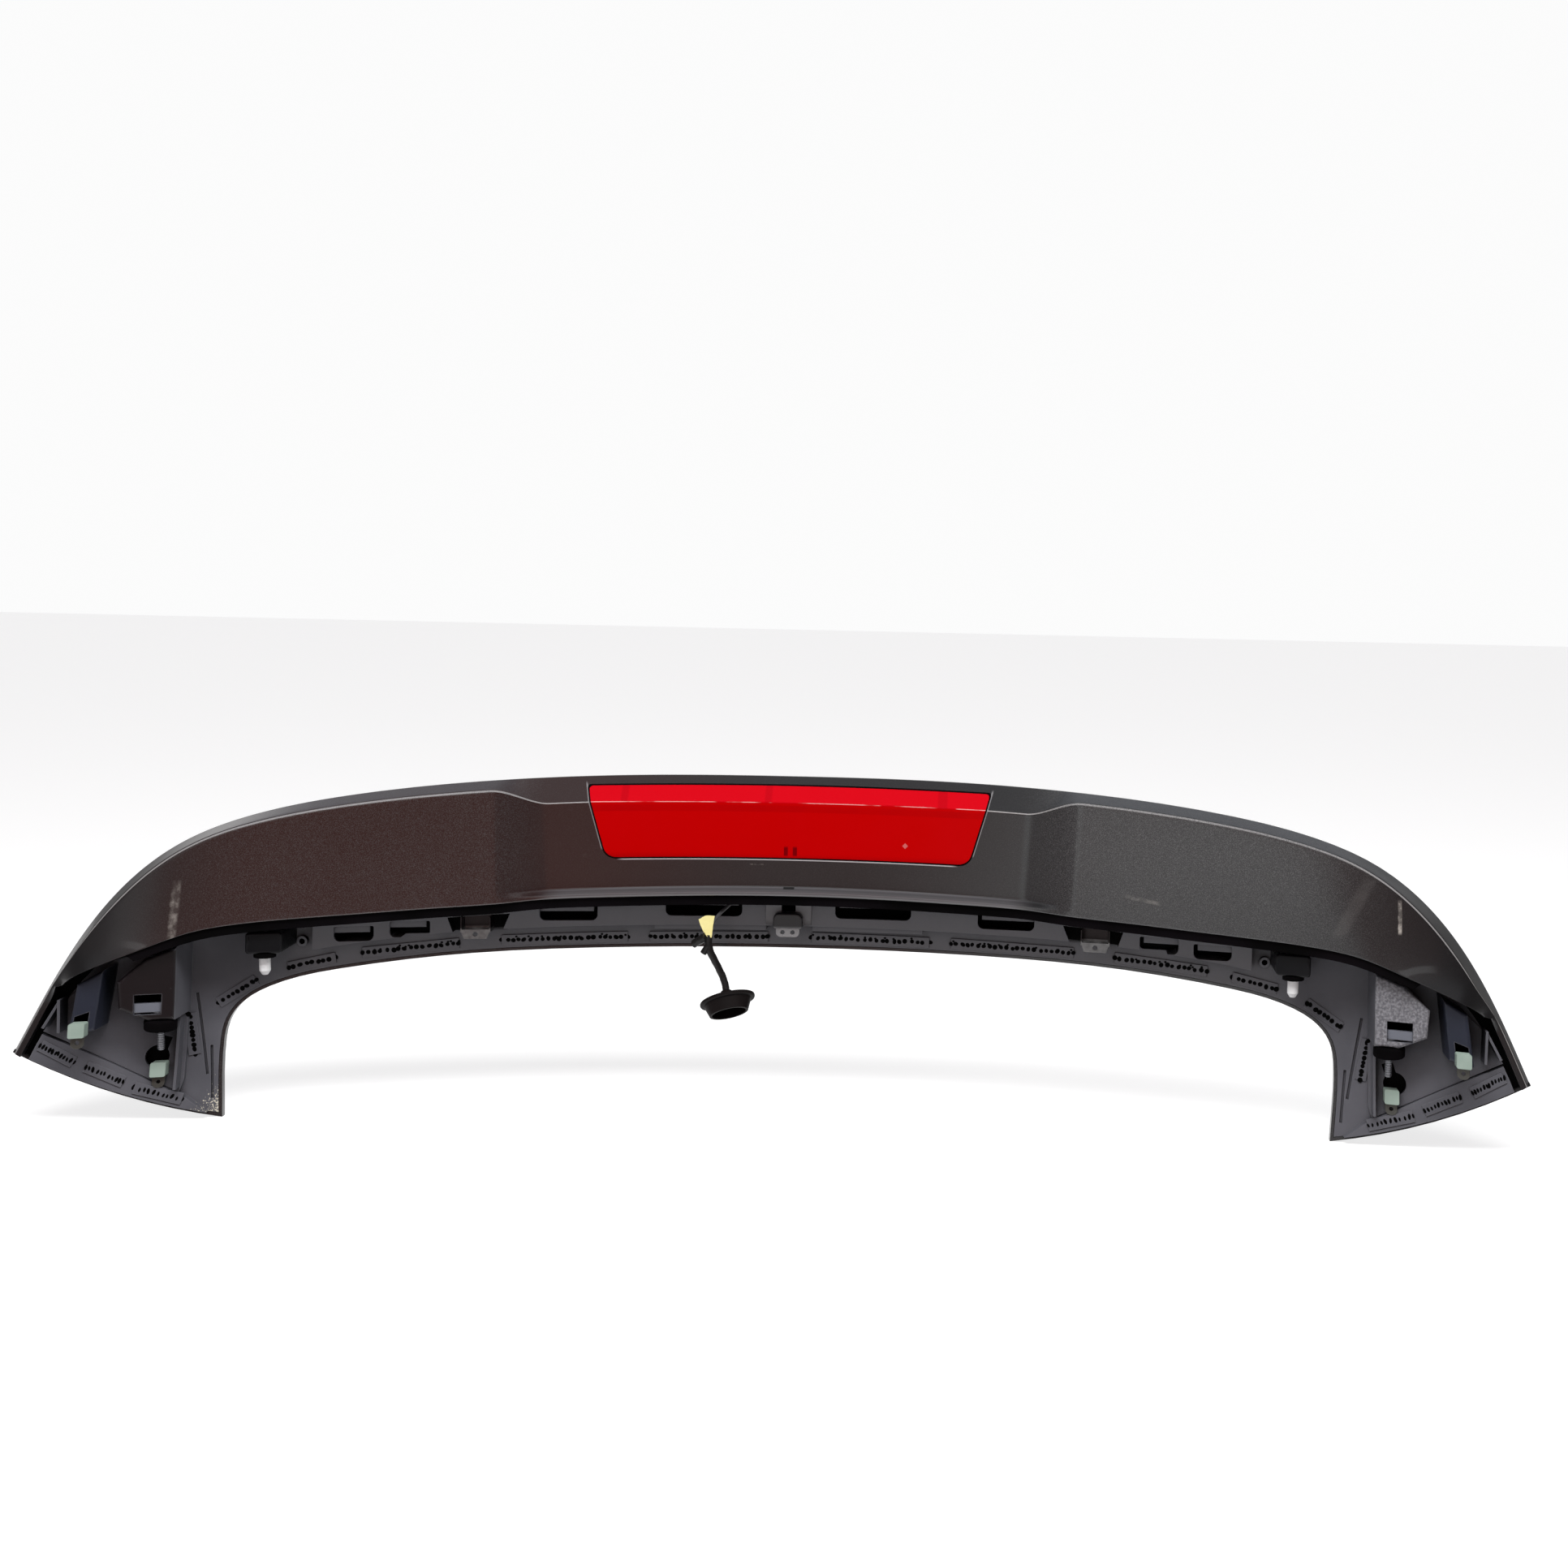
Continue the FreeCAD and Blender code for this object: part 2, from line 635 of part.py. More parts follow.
right_blocks = [soft_front(raised(boss_a, BOSS_A_DEPTH), BOSS_A_DEPTH, BOSS_EDGE_R),
                soft_front(raised(boss_b, BOSS_B_DEPTH), BOSS_B_DEPTH, BOSS_EDGE_R),
                raised(leg_floor, LEG_FLOOR_DEPTH),
                raised(leg_flange, LEG_FLANGE_DEPTH), raised(terrace, PLATEAU_DEPTH - 6.0)]
right_hollows = [hollow(prism(inset(clockwise(BOSS_A), WALL)), BOSS_A_DEPTH),
                 hollow(prism(inset(clockwise(BOSS_B), WALL)), BOSS_B_DEPTH),
                 hollow(prism(inset(clockwise(LEG_FLOOR), WALL)), LEG_FLOOR_DEPTH),
                 hollow(prism(inset(clockwise(LEG_FLANGE), WALL)).common(thin_area), LEG_FLANGE_DEPTH)]
for a, b, height in RIBS:
    right_blocks.append(bar(a, b, RIB_T).common(slab(-height, 1.0 - LEG_FLOOR_DEPTH)))
ring_y = depth(*RING)
ring = cylinder(4.5, 12.0, (RING[0], ring_y - 6.5, RING[1]), (0, 1, 0)).common(slab(-20.0, -1.0))
right_blocks.append(ring)
for i, (a, b) in enumerate(PADS):
    base = LEG_FLANGE_DEPTH if i < 3 else CARRIER_T + SEAT
    right_blocks.append(bar(a, b, PAD_W).common(carrier_area).common(slab(-base - PAD_H, 1.0 - base)))

windows = [box_window(*w, WINDOW_R) for w in WINDOWS]
right_cuts = list(windows)
right_cuts.append(pocket.common(slab(-PLATEAU_DEPTH - 5.0, -POCKET_DEPTH)))
right_cuts.append(prism(BOSS_A_WINDOW).common(slab(-BOSS_A_DEPTH - 5.0, WALL + 1.0 - BOSS_A_DEPTH)))
b0, b1, btop, blow = BOSS_B_WINDOW
right_cuts.append(rectangle(b0, b1, btop, blow).common(slab(-BOSS_B_DEPTH - 5.0, WALL + 1.0 - BOSS_B_DEPTH)))
keyhole = cylinder(KEYHOLE_R, BACK - FRONT, (KEYHOLE[0], FRONT, KEYHOLE[1]), (0, 1, 0))
keyhole = keyhole.fuse(bar(*KEYHOLE_SLOT, KEYHOLE_R))
right_cuts.append(keyhole.common(slab(-LEG_FLOOR_DEPTH - 2.0, WALL + 1.0 - LEG_FLOOR_DEPTH)))
right_cuts.append(cylinder(2.4, 8.0, (RING[0], ring_y - 7.0, RING[1]), (0, 1, 0)))
stud_hole = cylinder(STUD_SHANK_R + STUD_CLEAR, 12.0, (STUD_X, STUD_Y, STUD_SEAT_Z - 4.0), (0, 0, 1))
right_cuts.append(stud_hole)
for a, b in GROOVES:
    right_cuts.append(bar(a, b, GROOVE_W).common(slab(-CARRIER_T - SEAT - PAD_H - 1.0, GROOVE_DEPTH - CARRIER_T - SEAT)))

deck = raised(deck_area, PLATEAU_DEPTH)
deck_hollow = hollow(deck_in, PLATEAU_DEPTH).cut([pocket_wall, mirror(pocket_wall)])
blocks = [deck] + right_blocks + [mirror(b) for b in right_blocks]
hollows = [deck_hollow] + right_hollows + [mirror(h) for h in right_hollows]
cuts = right_cuts + [mirror(c) for c in right_cuts]
cuts.append(rectangle(*CENTRE_SLOT).common(slab(-PLATEAU_DEPTH - 5.0, WALL + 1.0 - PLATEAU_DEPTH)))

# Tongues behind the windows and the ledge behind the boss window, added once the hollows are cut
inner_face = PLATEAU_DEPTH - WALL
right_inner = []
for x0, x1, top, low in WINDOWS:
    tongue = rectangle(x0 + TONGUE_IN, x1 + 1.0, top + 3.0, top - TONGUE_DROP)
    right_inner.append(tongue.common(slab(-inner_face - SEAT, TONGUE_T - inner_face)))
head_top = STUD_SEAT_Z + WALL + SEAT / 2 + STUD_HEAD_H
boss_ledge = rectangle(b0 - 3.0, b1 + 3.0, blow + BOSS_LEDGE_H, head_top + BOSS_LEDGE_CLEAR)
right_inner.append(boss_ledge.common(slab(WALL - BOSS_B_DEPTH - SEAT, WALL + BOSS_LEDGE_T - BOSS_B_DEPTH)))
carrier = floor.fuse(blocks).cut(hollows + cuts).fuse(right_inner + [mirror(i) for i in right_inner])

# Studs and their seals
wall_top = STUD_SEAT_Z + WALL
stud_tip = STUD_SEAT_Z - STUD_LEN
stud = cylinder(STUD_R, SEAL_LOW_Z - stud_tip, (STUD_X, STUD_Y, stud_tip), (0, 0, 1))
shank = cylinder(STUD_SHANK_R, wall_top + SEAT - SEAL_LOW_Z, (STUD_X, STUD_Y, SEAL_LOW_Z), (0, 0, 1))
head = cylinder(STUD_HEAD_R, STUD_HEAD_H, (STUD_X, STUD_Y, wall_top + SEAT / 2), (0, 0, 1))
stud = stud.fuse([shank, head]).removeSplitter()
tip = [e for e in stud.Edges if abs(e.BoundBox.ZMax - stud_tip) < 0.01]
stud = stud.makeChamfer(0.7, tip)
stud_seal = cylinder(STUD_SEAL_R, STUD_SEAL_H, (STUD_X, STUD_Y, SEAL_LOW_Z), (0, 0, 1))
stud_seal = stud_seal.cut(cylinder(STUD_SHANK_R + STUD_CLEAR / 2, 40.0, (STUD_X, STUD_Y, SEAL_LOW_Z - 1.0), (0, 0, 1)))
rim_edges = [e for e in stud_seal.Edges if e.Length > 2 * pi * STUD_SEAL_R - 1.0 and e.BoundBox.ZLength < 0.01]
stud_seal = stud_seal.makeFillet(2.5, rim_edges)

# Peg holder, peg and its seal
h0, h1, htop, hlow = HOLDER
holder_back = CARRIER_T + SEAT + SEAT / 2
holder = rounded([(h0, htop), (h1, htop), (h1, hlow), (h0, hlow)], [3.0, 3.0, 3.0, 3.0])
holder = soft_front(holder.common(slab(-HOLDER_DEPTH, -holder_back)), HOLDER_DEPTH, 2.0)
holder_in = rectangle(h0 + WALL, h1 - WALL, htop - WALL, hlow + WALL)
holder = holder.cut(holder_in.common(slab(WALL - HOLDER_DEPTH, 5.0)))
peg_y = depth(PEG_X, hlow) - PEG_OUT
holder = holder.cut(cylinder(PEG_SHANK_R + 0.1, 12.0, (PEG_X, peg_y, hlow - 4.0), (0, 0, 1)))
peg_seal_low = hlow - SEAT / 2 - PEG_SEAL_H
peg_seal = cylinder(PEG_SEAL_R, PEG_SEAL_H, (PEG_X, peg_y, peg_seal_low), (0, 0, 1))
peg_seal = peg_seal.cut(cylinder(PEG_SHANK_R + 0.05, 20.0, (PEG_X, peg_y, peg_seal_low - 1.0), (0, 0, 1)))
shoulder = peg_seal_low - SEAT / 2
peg = cylinder(PEG_R, shoulder - PEG_TIP_Z - PEG_NOSE, (PEG_X, peg_y, PEG_TIP_Z + PEG_NOSE), (0, 0, 1))
nose = Part.makeCone(PEG_R - 2.2, PEG_R, PEG_NOSE, V(PEG_X, peg_y, PEG_TIP_Z), V(0, 0, 1))
shank_top = hlow + WALL + SEAT / 2
shank = cylinder(PEG_SHANK_R, shank_top + PEG_HEAD_H - shoulder, (PEG_X, peg_y, shoulder), (0, 0, 1))
peg_head = cylinder(PEG_HEAD_R, PEG_HEAD_H, (PEG_X, peg_y, shank_top), (0, 0, 1))
peg = peg.fuse([nose, shank, peg_head]).removeSplitter()


# Square nuts with an eyelet tab below: one on the outer boss, one on the leg floor
def nut(centre, base):
    x, z = centre
    w = NUT_W / 2
    area = rounded([(x - w, z + w), (x + w, z + w), (x + w, z - w), (x - w, z - w)], [1.5, 1.5, 1.5, 1.5])
    solid = area.common(slab(-base - NUT_LEN, -base - SEAT / 2))
    t = TAB_W / 2
    low = z - w - TAB_LEN
    tab = rounded([(x - t, z), (x + t, z), (x + t, low), (x - t, low)], [0, 0, t - 0.5, t - 0.5])
    tab_back = LEG_FLANGE_DEPTH - LEG_FLOOR_DEPTH + 0.4
    tab = tab.common(slab(-base - tab_back - TAB_T, -base - tab_back))
    hole_y = depth(x, low + t) - base - tab_back - TAB_T
    tab = tab.cut(cylinder(TAB_HOLE_R, 8.0, (x, hole_y - 3.0, low + t), (0, 1, 0)))
    return solid.fuse(tab).removeSplitter()


nut_outer = nut(NUT_A, BOSS_A_DEPTH)
nut_inner = nut(NUT_B, LEG_FLOOR_DEPTH)

# Spring clips in the pockets, and the centre clip
c0, c1, ctop, clow = SPRING_CLIP
clip_base = POCKET_DEPTH + SEAT / 2
spring_clip = rectangle(c0, c1, ctop, clow).common(slab(-clip_base - SPRING_T, -clip_base))
clip_front = clip_base + SPRING_REACH
for x in (c0, c1 - SPRING_T):
    prong = rectangle(x, x + SPRING_T, ctop, clow).common(slab(-clip_front, -clip_base))
    spring_clip = spring_clip.fuse(prong)
clip_low = clow - SPRING_TONGUE
front_plate = prism([(c0, clow + 2.5), (c1, clow + 2.5), (c1 - 3.0, clip_low), (c0 + 3.0, clip_low)])
front_plate = front_plate.common(slab(-clip_front, SPRING_T - clip_front))
hole_x, hole_z = (c0 + c1) / 2, clow - 1.5
hole_y = depth(hole_x, hole_z) - clip_front
front_plate = front_plate.cut(cylinder(SPRING_HOLE_R, 8.0, (hole_x, hole_y - 4.0, hole_z), (0, 1, 0)))
spring_clip = spring_clip.fuse(front_plate).removeSplitter()
clip_seat = PLATEAU_DEPTH + SEAT / 2
p0, p1, ptop, plow = CLIP_PLATE
plates = [rectangle(p0, p1, ptop, plow), rectangle(-p1, -p0, ptop, plow)]
plates = [p.common(slab(-clip_seat - CLIP_PLATE_T, -clip_seat)) for p in plates]
k0, k1, ktop, klow = CLIP_HOOD
hood = rounded([(k0, ktop), (k1, ktop), (k1, klow), (k0, klow)], [5.0, 5.0, 2.0, 2.0])
hood = soft_front(hood.common(slab(-clip_seat - CLIP_HOOD_H, -clip_seat)), clip_seat + CLIP_HOOD_H, 1.8)
t0, t1, ttop, tlow = CLIP_TAIL
tail = rounded([(t0, ttop), (t1, ttop), (t1, tlow), (t0, tlow)], [0, 0, 4.0, 4.0])
tail = tail.common(slab(-clip_seat - CLIP_HOOD_H + 1.5, CLIP_TAIL_T + 1.5 - clip_seat - CLIP_HOOD_H))
for x in (-CLIP_HOLE_X, CLIP_HOLE_X):
    y = depth(x, CLIP_HOLE_Z) - clip_seat - CLIP_HOOD_H
    tail = tail.cut(cylinder(CLIP_HOLE_R, 12.0, (x, y - 4.0, CLIP_HOLE_Z), (0, 1, 0)))
centre_clip = hood.fuse(plates + [tail]).removeSplitter()

# Wiring: a lead of straight runs and tangent arcs, its sleeve, tape and grommet
lead_points = [V(x, depth(x, z) - d, z) for x, d, z in LEAD + [LEAD_END]]
grommet_turn = FreeCAD.Rotation(V(0, 1, 0), -GROMMET_TILT) * FreeCAD.Rotation(V(1, 0, 0), -GROMMET_TIP)
grommet_up = grommet_turn.multVec(V(0, 0, 1))
lead_points.insert(-1, lead_points[-1] + grommet_up * LEAD_RUN)


def route(points):
    edges = []
    start = points[0]
    for a, b, c in zip(points, points[1:], points[2:]):
        u = (a - b).normalize()
        w = (c - b).normalize()
        half = (pi - u.getAngle(w)) / 2
        reach = 0.45 * min((a - b).Length, (c - b).Length)
        p, q = b + u * reach, b + w * reach
        bend = (u + w).normalize()
        radius = reach / tan(half)
        print("bend radius", round(radius, 1))
        middle = b + bend * (radius / cos(half) - radius)
        edges += [Part.makeLine(start, p), Part.Arc(p, middle, q).toShape()]
        start = q
    edges.append(Part.makeLine(start, points[-1]))
    return Part.Wire(edges)


def tube(points, r):
    path = route(points)
    way = (points[1] - points[0]).normalize()
    ring = Part.Wire(Part.makeCircle(r, points[0], way))
    solid = path.makePipeShell([ring], True, False)
    print("tube", round(path.Length, 1), round(solid.Volume), round(path.Length * pi * r * r))
    return solid


lead = tube(lead_points, LEAD_R)
below = Part.makeBox(400.0, 400.0, 100.0, V(-250.0, -250.0, SLEEVE_TOP_Z - 100.0))
sleeve = tube(lead_points[SLEEVE_FROM:], SLEEVE_R).common(below)
sleeve = sleeve.cut(tube(lead_points[SLEEVE_FROM:], LEAD_R + 0.05))

# Tape flag folded over the lead
tape_run = lead_points[TAPE_FROM + 1] - lead_points[TAPE_FROM]
u = V(tape_run).normalize()
side_way = (V(1, 0, 0) - u * u.x).normalize()
out = u.cross(side_way)
middle = lead_points[TAPE_FROM] + tape_run * 0.45 + out * TAPE_OUT
corners = [(-11.4, -8.5), (-7, -13), (1.2, -14), (2, -5), (3.5, 8.5), (-0.6, 8.3), (-5.2, 2.6), (-8.8, -3)]
flag = [middle + side_way * i + u * j for i, j in corners]
tape = Part.Face(Part.makePolygon(flag + [flag[0]])).extrude(out * TAPE_T)


# Oval grommet with a neck above and a tapered open cup below
def oval(rx, ry, z):
    return Part.Wire(Part.Ellipse(V(0, 0, z), rx, ry).toShape())


def cup_solid(thick, top, low):
    wide = oval(GROMMET_CUP_RX - thick, GROMMET_CUP_RY - thick, top)
    slim = GROMMET_CUP_TAPER + thick
    return Part.makeLoft([wide, oval(GROMMET_CUP_RX - slim, GROMMET_CUP_RY - slim / 2, low)], True, True)


neck_low = -SEAT / 2 - GROMMET_NECK
flange_low = neck_low - GROMMET_FLANGE
cup_low = flange_low - GROMMET_CUP_H
neck = Part.makeCone(8.0, 5.0, GROMMET_NECK, V(0, 0, neck_low), V(0, 0, 1))
flange = Part.Face(oval(GROMMET_RX, GROMMET_RY, flange_low)).extrude(V(0, 0, GROMMET_FLANGE))
flange = flange.makeFillet(GROMMET_LIP_R, [e for e in flange.Edges if e.BoundBox.ZLength < 0.01])
grommet = flange.fuse([neck, cup_solid(0.0, flange_low + 0.5, cup_low)])
grommet = grommet.cut(cup_solid(GROMMET_WALL, flange_low + GROMMET_FLANGE / 2, cup_low - 0.01))
grommet = grommet.removeSplitter()
grommet.Placement = FreeCAD.Placement(lead_points[-1], grommet_turn)

write("top_skin", top_skin)
write("rear_panel", rear_panel)
write("edge_seal", edge_seal)
write("lamp_lens", lens)
write("lamp_gasket", gasket)
write("lamp_housing", housing)
write("lamp_board", board)
write("lamp_diodes", diodes)
write("carrier", carrier)
write("lamp_lead", lead)
write("lead_sleeve", sleeve)
write("lead_tape", tape)
write("grommet", grommet)
for side, turn in (("right", lambda s: s), ("left", mirror)):
    write("stud_" + side, turn(stud))
    write("stud_seal_" + side, turn(stud_seal))
    write("peg_" + side, turn(peg))
    write("peg_seal_" + side, turn(peg_seal))
    write("peg_holder_" + side, turn(holder))
    write("nut_outer_" + side, turn(nut_outer))
    write("nut_inner_" + side, turn(nut_inner))
    write("spring_clip_" + side, turn(spring_clip))
write("centre_clip", centre_clip)
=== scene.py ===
# %% [markdown]
# # A tailgate spoiler with a brake lamp
# The real part is a painted horseshoe that sits on top of a tailgate. We see it from
# behind the car: a glossy rear panel with a red lamp, and below it the moulded carrier
# that bolts to the car. The rigid shapes arrive as a fixed frame, so this lesson is about
# dressing them: light, finishes, soft wiring and the small marks of making and use.

# %% Load the frame
import random
from math import atan2, cos, hypot, pi, radians, sin, tan

import bmesh
import bpy
import numpy as np
from mathutils import Matrix, Vector, noise
from mathutils.bvhtree import BVHTree


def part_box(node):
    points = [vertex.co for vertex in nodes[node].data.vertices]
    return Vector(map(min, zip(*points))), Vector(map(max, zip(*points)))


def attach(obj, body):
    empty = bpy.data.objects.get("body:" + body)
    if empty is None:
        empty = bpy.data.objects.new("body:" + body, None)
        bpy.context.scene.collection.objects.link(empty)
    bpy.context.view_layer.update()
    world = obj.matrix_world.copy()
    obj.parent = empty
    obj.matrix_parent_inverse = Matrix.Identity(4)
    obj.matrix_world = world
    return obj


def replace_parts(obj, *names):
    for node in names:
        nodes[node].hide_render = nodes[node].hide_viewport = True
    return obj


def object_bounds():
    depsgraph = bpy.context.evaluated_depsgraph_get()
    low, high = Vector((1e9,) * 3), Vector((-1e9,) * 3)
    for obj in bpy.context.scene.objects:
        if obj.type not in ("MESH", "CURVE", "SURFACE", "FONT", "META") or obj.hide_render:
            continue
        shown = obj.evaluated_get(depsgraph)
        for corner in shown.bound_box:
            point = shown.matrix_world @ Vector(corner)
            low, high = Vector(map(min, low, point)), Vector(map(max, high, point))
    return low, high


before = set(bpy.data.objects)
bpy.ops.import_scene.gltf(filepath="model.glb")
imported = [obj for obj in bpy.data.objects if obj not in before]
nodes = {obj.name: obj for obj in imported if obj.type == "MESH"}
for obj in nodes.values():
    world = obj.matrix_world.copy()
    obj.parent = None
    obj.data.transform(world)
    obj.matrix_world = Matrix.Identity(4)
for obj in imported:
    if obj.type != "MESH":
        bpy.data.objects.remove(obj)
cad_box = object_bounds()
print("nodes:", len(nodes), "box:", [round(c, 4) for corner in cad_box for c in corner])

# %% [markdown]
# ## One way to say where things are
# The skin of the spoiler is a gentle double curve, so a place on the part is easiest to
# give as x across, z below the middle of the top edge, and the distance in front of the
# skin, all in millimetres. One function turns that into a point of the frame and another
# turns it back. A ray from the front finds the surface of a piece, so that a small thing
# is put on what carries it.

# %% Places on the part
MM = 0.001
CROWN, CROWN_AT = 125.0, 620.0
BULGE, BULGE_MID, BULGE_HALF = 6.0, -80.0, 80.0
SKIN_Y = 118.89
TOP_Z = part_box("top_skin")[1].z
FLOOR_Z = cad_box[0].z
IN_FRONT = 200.0


def skin_depth(x, z):
    return BULGE * (1 - ((z - BULGE_MID) / BULGE_HALF) ** 2) - CROWN * (x / CROWN_AT) ** 2


def in_frame(x, y, z):
    """A point of the drawing, in mm, as a point of the frame."""
    return Vector((x * MM, (y + SKIN_Y) * MM, z * MM + TOP_Z))


def place(x, out, z):
    """The point x across, out in front of the skin and z above the top edge."""
    return in_frame(x, skin_depth(x, z) - out, z)


def off_skin(point):
    """The inverse of place: x across, out in front of the skin, and z."""
    x, z = point.x / MM, (point.z - TOP_Z) / MM
    return x, skin_depth(x, z) + SKIN_Y - point.y / MM, z


def front_of(node):
    """A function that finds where a ray from the front meets a node, and the normal there."""
    mesh = nodes[node].data
    points = [v.co for v in mesh.vertices]
    tree = BVHTree.FromPolygons(points, [p.vertices for p in mesh.polygons])
    return lambda x, z: tree.ray_cast(place(x, IN_FRONT, z), Vector((0, 1, 0)))[:2]


print("top edge at", round(TOP_Z, 4), "floor at", round(FLOOR_Z, 4))

# %% [markdown]
# ## Camera
# The photograph looks down a little and from right of the middle, and the horizon leans.
# A camera is a place and three axes, so we write the axes down directly: pitch first,
# then a small roll. The focal length is given as a share of the picture's width, and the
# lens shift puts the part where the picture has it.

# %% Camera
PITCH, ROLL = radians(7.5), radians(1.27)
SENSOR, FOCAL_SHARE, SHIFT = 36.0, 2654 / 1932, (-0.1418, 0.0031)
EYE = in_frame(185, -1840, 235.5)
scene = bpy.context.scene


def added(name, data):
    """A new object in the scene."""
    made = bpy.data.objects.new(name, data)
    scene.collection.objects.link(made)
    return made


camera = bpy.data.cameras.new("camera")
camera.sensor_width = SENSOR
camera.lens = SENSOR * FOCAL_SHARE
camera.shift_x, camera.shift_y = SHIFT
eye = added("camera", camera)
level_up = Vector((0, sin(PITCH), cos(PITCH)))
right = Vector((1, 0, 0)) * cos(ROLL) + level_up * sin(ROLL)
up = level_up * cos(ROLL) - Vector((1, 0, 0)) * sin(ROLL)
eye_axes = Matrix((right, up, right.cross(up))).transposed()
eye.matrix_world = Matrix.Translation(EYE) @ eye_axes.to_4x4()
scene.camera = eye
print("lens", round(camera.lens, 2), "mm from", [round(c, 3) for c in EYE])

# %% [markdown]
# ## Writing shaders as sums
# Node trees are easier to read as expressions. A small class wraps one socket: adding or
# multiplying two of them adds a Math node, and one method makes any other node from its
# type, its settings and its sockets. Everything below is written with it.

# %% Shader arithmetic
class Socket:
    """One output of a node tree, or the tree alone when out is None."""

    def __init__(self, tree, out=None):
        self.tree, self.out = tree, out

    def node(self, kind, settings=None, sockets=None, out=0):
        made = self.tree.nodes.new("ShaderNode" + kind)
        for name, value in (settings or {}).items():
            setattr(made, name, value)
        for name, value in (sockets or {}).items():
            self.feed(made.inputs[name], value)
        return Socket(self.tree, made.outputs[out])

    def other(self, name):
        """Another output of the node that this socket belongs to."""
        return Socket(self.tree, self.out.node.outputs[name])

    def feed(self, target, value):
        if isinstance(value, Socket):
            self.tree.links.new(value.out, target)
        else:
            target.default_value = value

    def math(self, operation, a, b=0.0):
        return self.node("Math", {"operation": operation}, {0: a, 1: b})

    def __add__(self, other):
        return self.math("ADD", self, other)

    __radd__ = __add__

    def __sub__(self, other):
        return self.math("SUBTRACT", self, other)

    def __rsub__(self, other):
        return self.math("SUBTRACT", other, self)

    def __mul__(self, other):
        return self.math("MULTIPLY", self, other)

    __rmul__ = __mul__

    def __abs__(self):
        return self.math("ABSOLUTE", self)

    def step(self, low, high):
        """A soft step from 0 at low to 1 at high; low may be the larger."""
        return self.node("MapRange", {"interpolation_type": "SMOOTHSTEP"},
                         {"Value": self, "From Min": low, "From Max": high})

    def mix(self, a, b):
        """Colour a where this mask is 0 and colour b where it is 1."""
        return self.node("Mix", {"data_type": "RGBA"}, {0: self, 6: a, 7: b}, out=2)


def colour(r, *others):
    """A colour, or a grey if there is only one number."""
    return (r, *(others or (r, r)), 1.0)


def patch(value, low, high, soft):
    """1 between low and high, 0 outside, with soft edges."""
    return value.step(low - soft, low) * value.step(high + soft, high)


def spot(x, z, where):
    """1 in a soft rectangle. where holds low, high and softness, for x and then for z."""
    return patch(x, *where[0]) * patch(z, *where[1])


print("shader arithmetic ready")

# %% [markdown]
# ## Light
# The part stands on a white floor before a white wall. The room in front of it is dimmer
# and not the same on both sides: brownish to the right, pale to the left. A gloss paint
# shows what it faces, so that is what makes one half of the panel brown and the other
# grey. All of this could be built as walls, but a world that depends on the direction
# costs nothing: aside, ahead and height are the three parts of that direction. A bright
# strip near the ceiling gives the coat something to glint with.

# %% World
WALL_WHITE = colour(0.97)
HIGH_WALL = colour(0.20, 0.21, 0.235)
SIDE_WALL = colour(0.07, 0.065, 0.065)
ROOM_DARK = colour(0.08, 0.06, 0.06)
ROOM_BROWN = colour(0.26, 0.12, 0.10)
ROOM_PALE = colour(0.90)
ROOM_DIM = colour(0.24, 0.20, 0.20)
CEILING = colour(0.42, 0.42, 0.435)
LAMP_STRIP = colour(2.5)

HIGH_FROM, CEILING_FROM = (0.24, 0.40), (0.70, 0.92)
SIDE_FROM, ROOM_FROM = (0.48, 0.66), (0.05, -0.35)
PALE_FROM, DIM_FROM, DARK_FROM = (-0.13, -0.29), (-0.34, -0.52), (0.18, 0.36)
STRIP_HEIGHT, STRIP_AHEAD = (0.715, 0.765, 0.02), (0.0, -0.3)
STRIP_MID, STRIP_ASIDE = -0.04, (0.32, 0.18)

scene.view_settings.view_transform = "Standard"
world = bpy.data.worlds.new("studio")
scene.world = world
world.use_nodes = True
sky = Socket(world.node_tree)
aside = sky.node("SeparateXYZ", sockets={0: sky.node("TexCoord", out="Generated")})
ahead, height = aside.other("Y"), aside.other("Z")
wall = height.step(*HIGH_FROM).mix(WALL_WHITE, HIGH_WALL)
wall = abs(aside).step(*SIDE_FROM).mix(wall, SIDE_WALL)
room = aside.step(*PALE_FROM).mix(ROOM_BROWN, ROOM_PALE)
room = aside.step(*DIM_FROM).mix(room, ROOM_DIM)
room = aside.step(*DARK_FROM).mix(room, ROOM_DARK)
view = ahead.step(*ROOM_FROM).mix(wall, room)
view = height.step(*CEILING_FROM).mix(view, CEILING)
strip = patch(height, *STRIP_HEIGHT) * ahead.step(*STRIP_AHEAD)
strip = strip * abs(aside - STRIP_MID).step(*STRIP_ASIDE)
sky.feed(world.node_tree.nodes["Background"].inputs["Color"], strip.mix(view, LAMP_STRIP))
print("world:", len(world.node_tree.nodes), "shader nodes")

# %% [markdown]
# ### Floor and ceiling lamp
# The floor looks pure white in the picture, yet it must not light the part from below more
# than paper would. So it is plain paper for light that bounces, and glows a little only for
# rays that come from the camera, a mirror image or a clear piece. One wide lamp under the
# ceiling gives the soft shadow. It is left out of mirror images, where its edges would show.

# %% Floor
FLOOR_HALF = 7.0
FLOOR_WHITE = colour(0.50)
FLOOR_GLOW = colour(0.72)
finishes = {}


def finish(name, **constants):
    """A new material's tree and shader. Underscores stand for spaces in socket names."""
    material = finishes[name] = bpy.data.materials.new(name)
    material.use_nodes = True
    shader = material.node_tree.nodes["Principled BSDF"]
    for socket, value in constants.items():
        shader.inputs[socket.replace("_", " ")].default_value = value
    return Socket(material.node_tree), shader


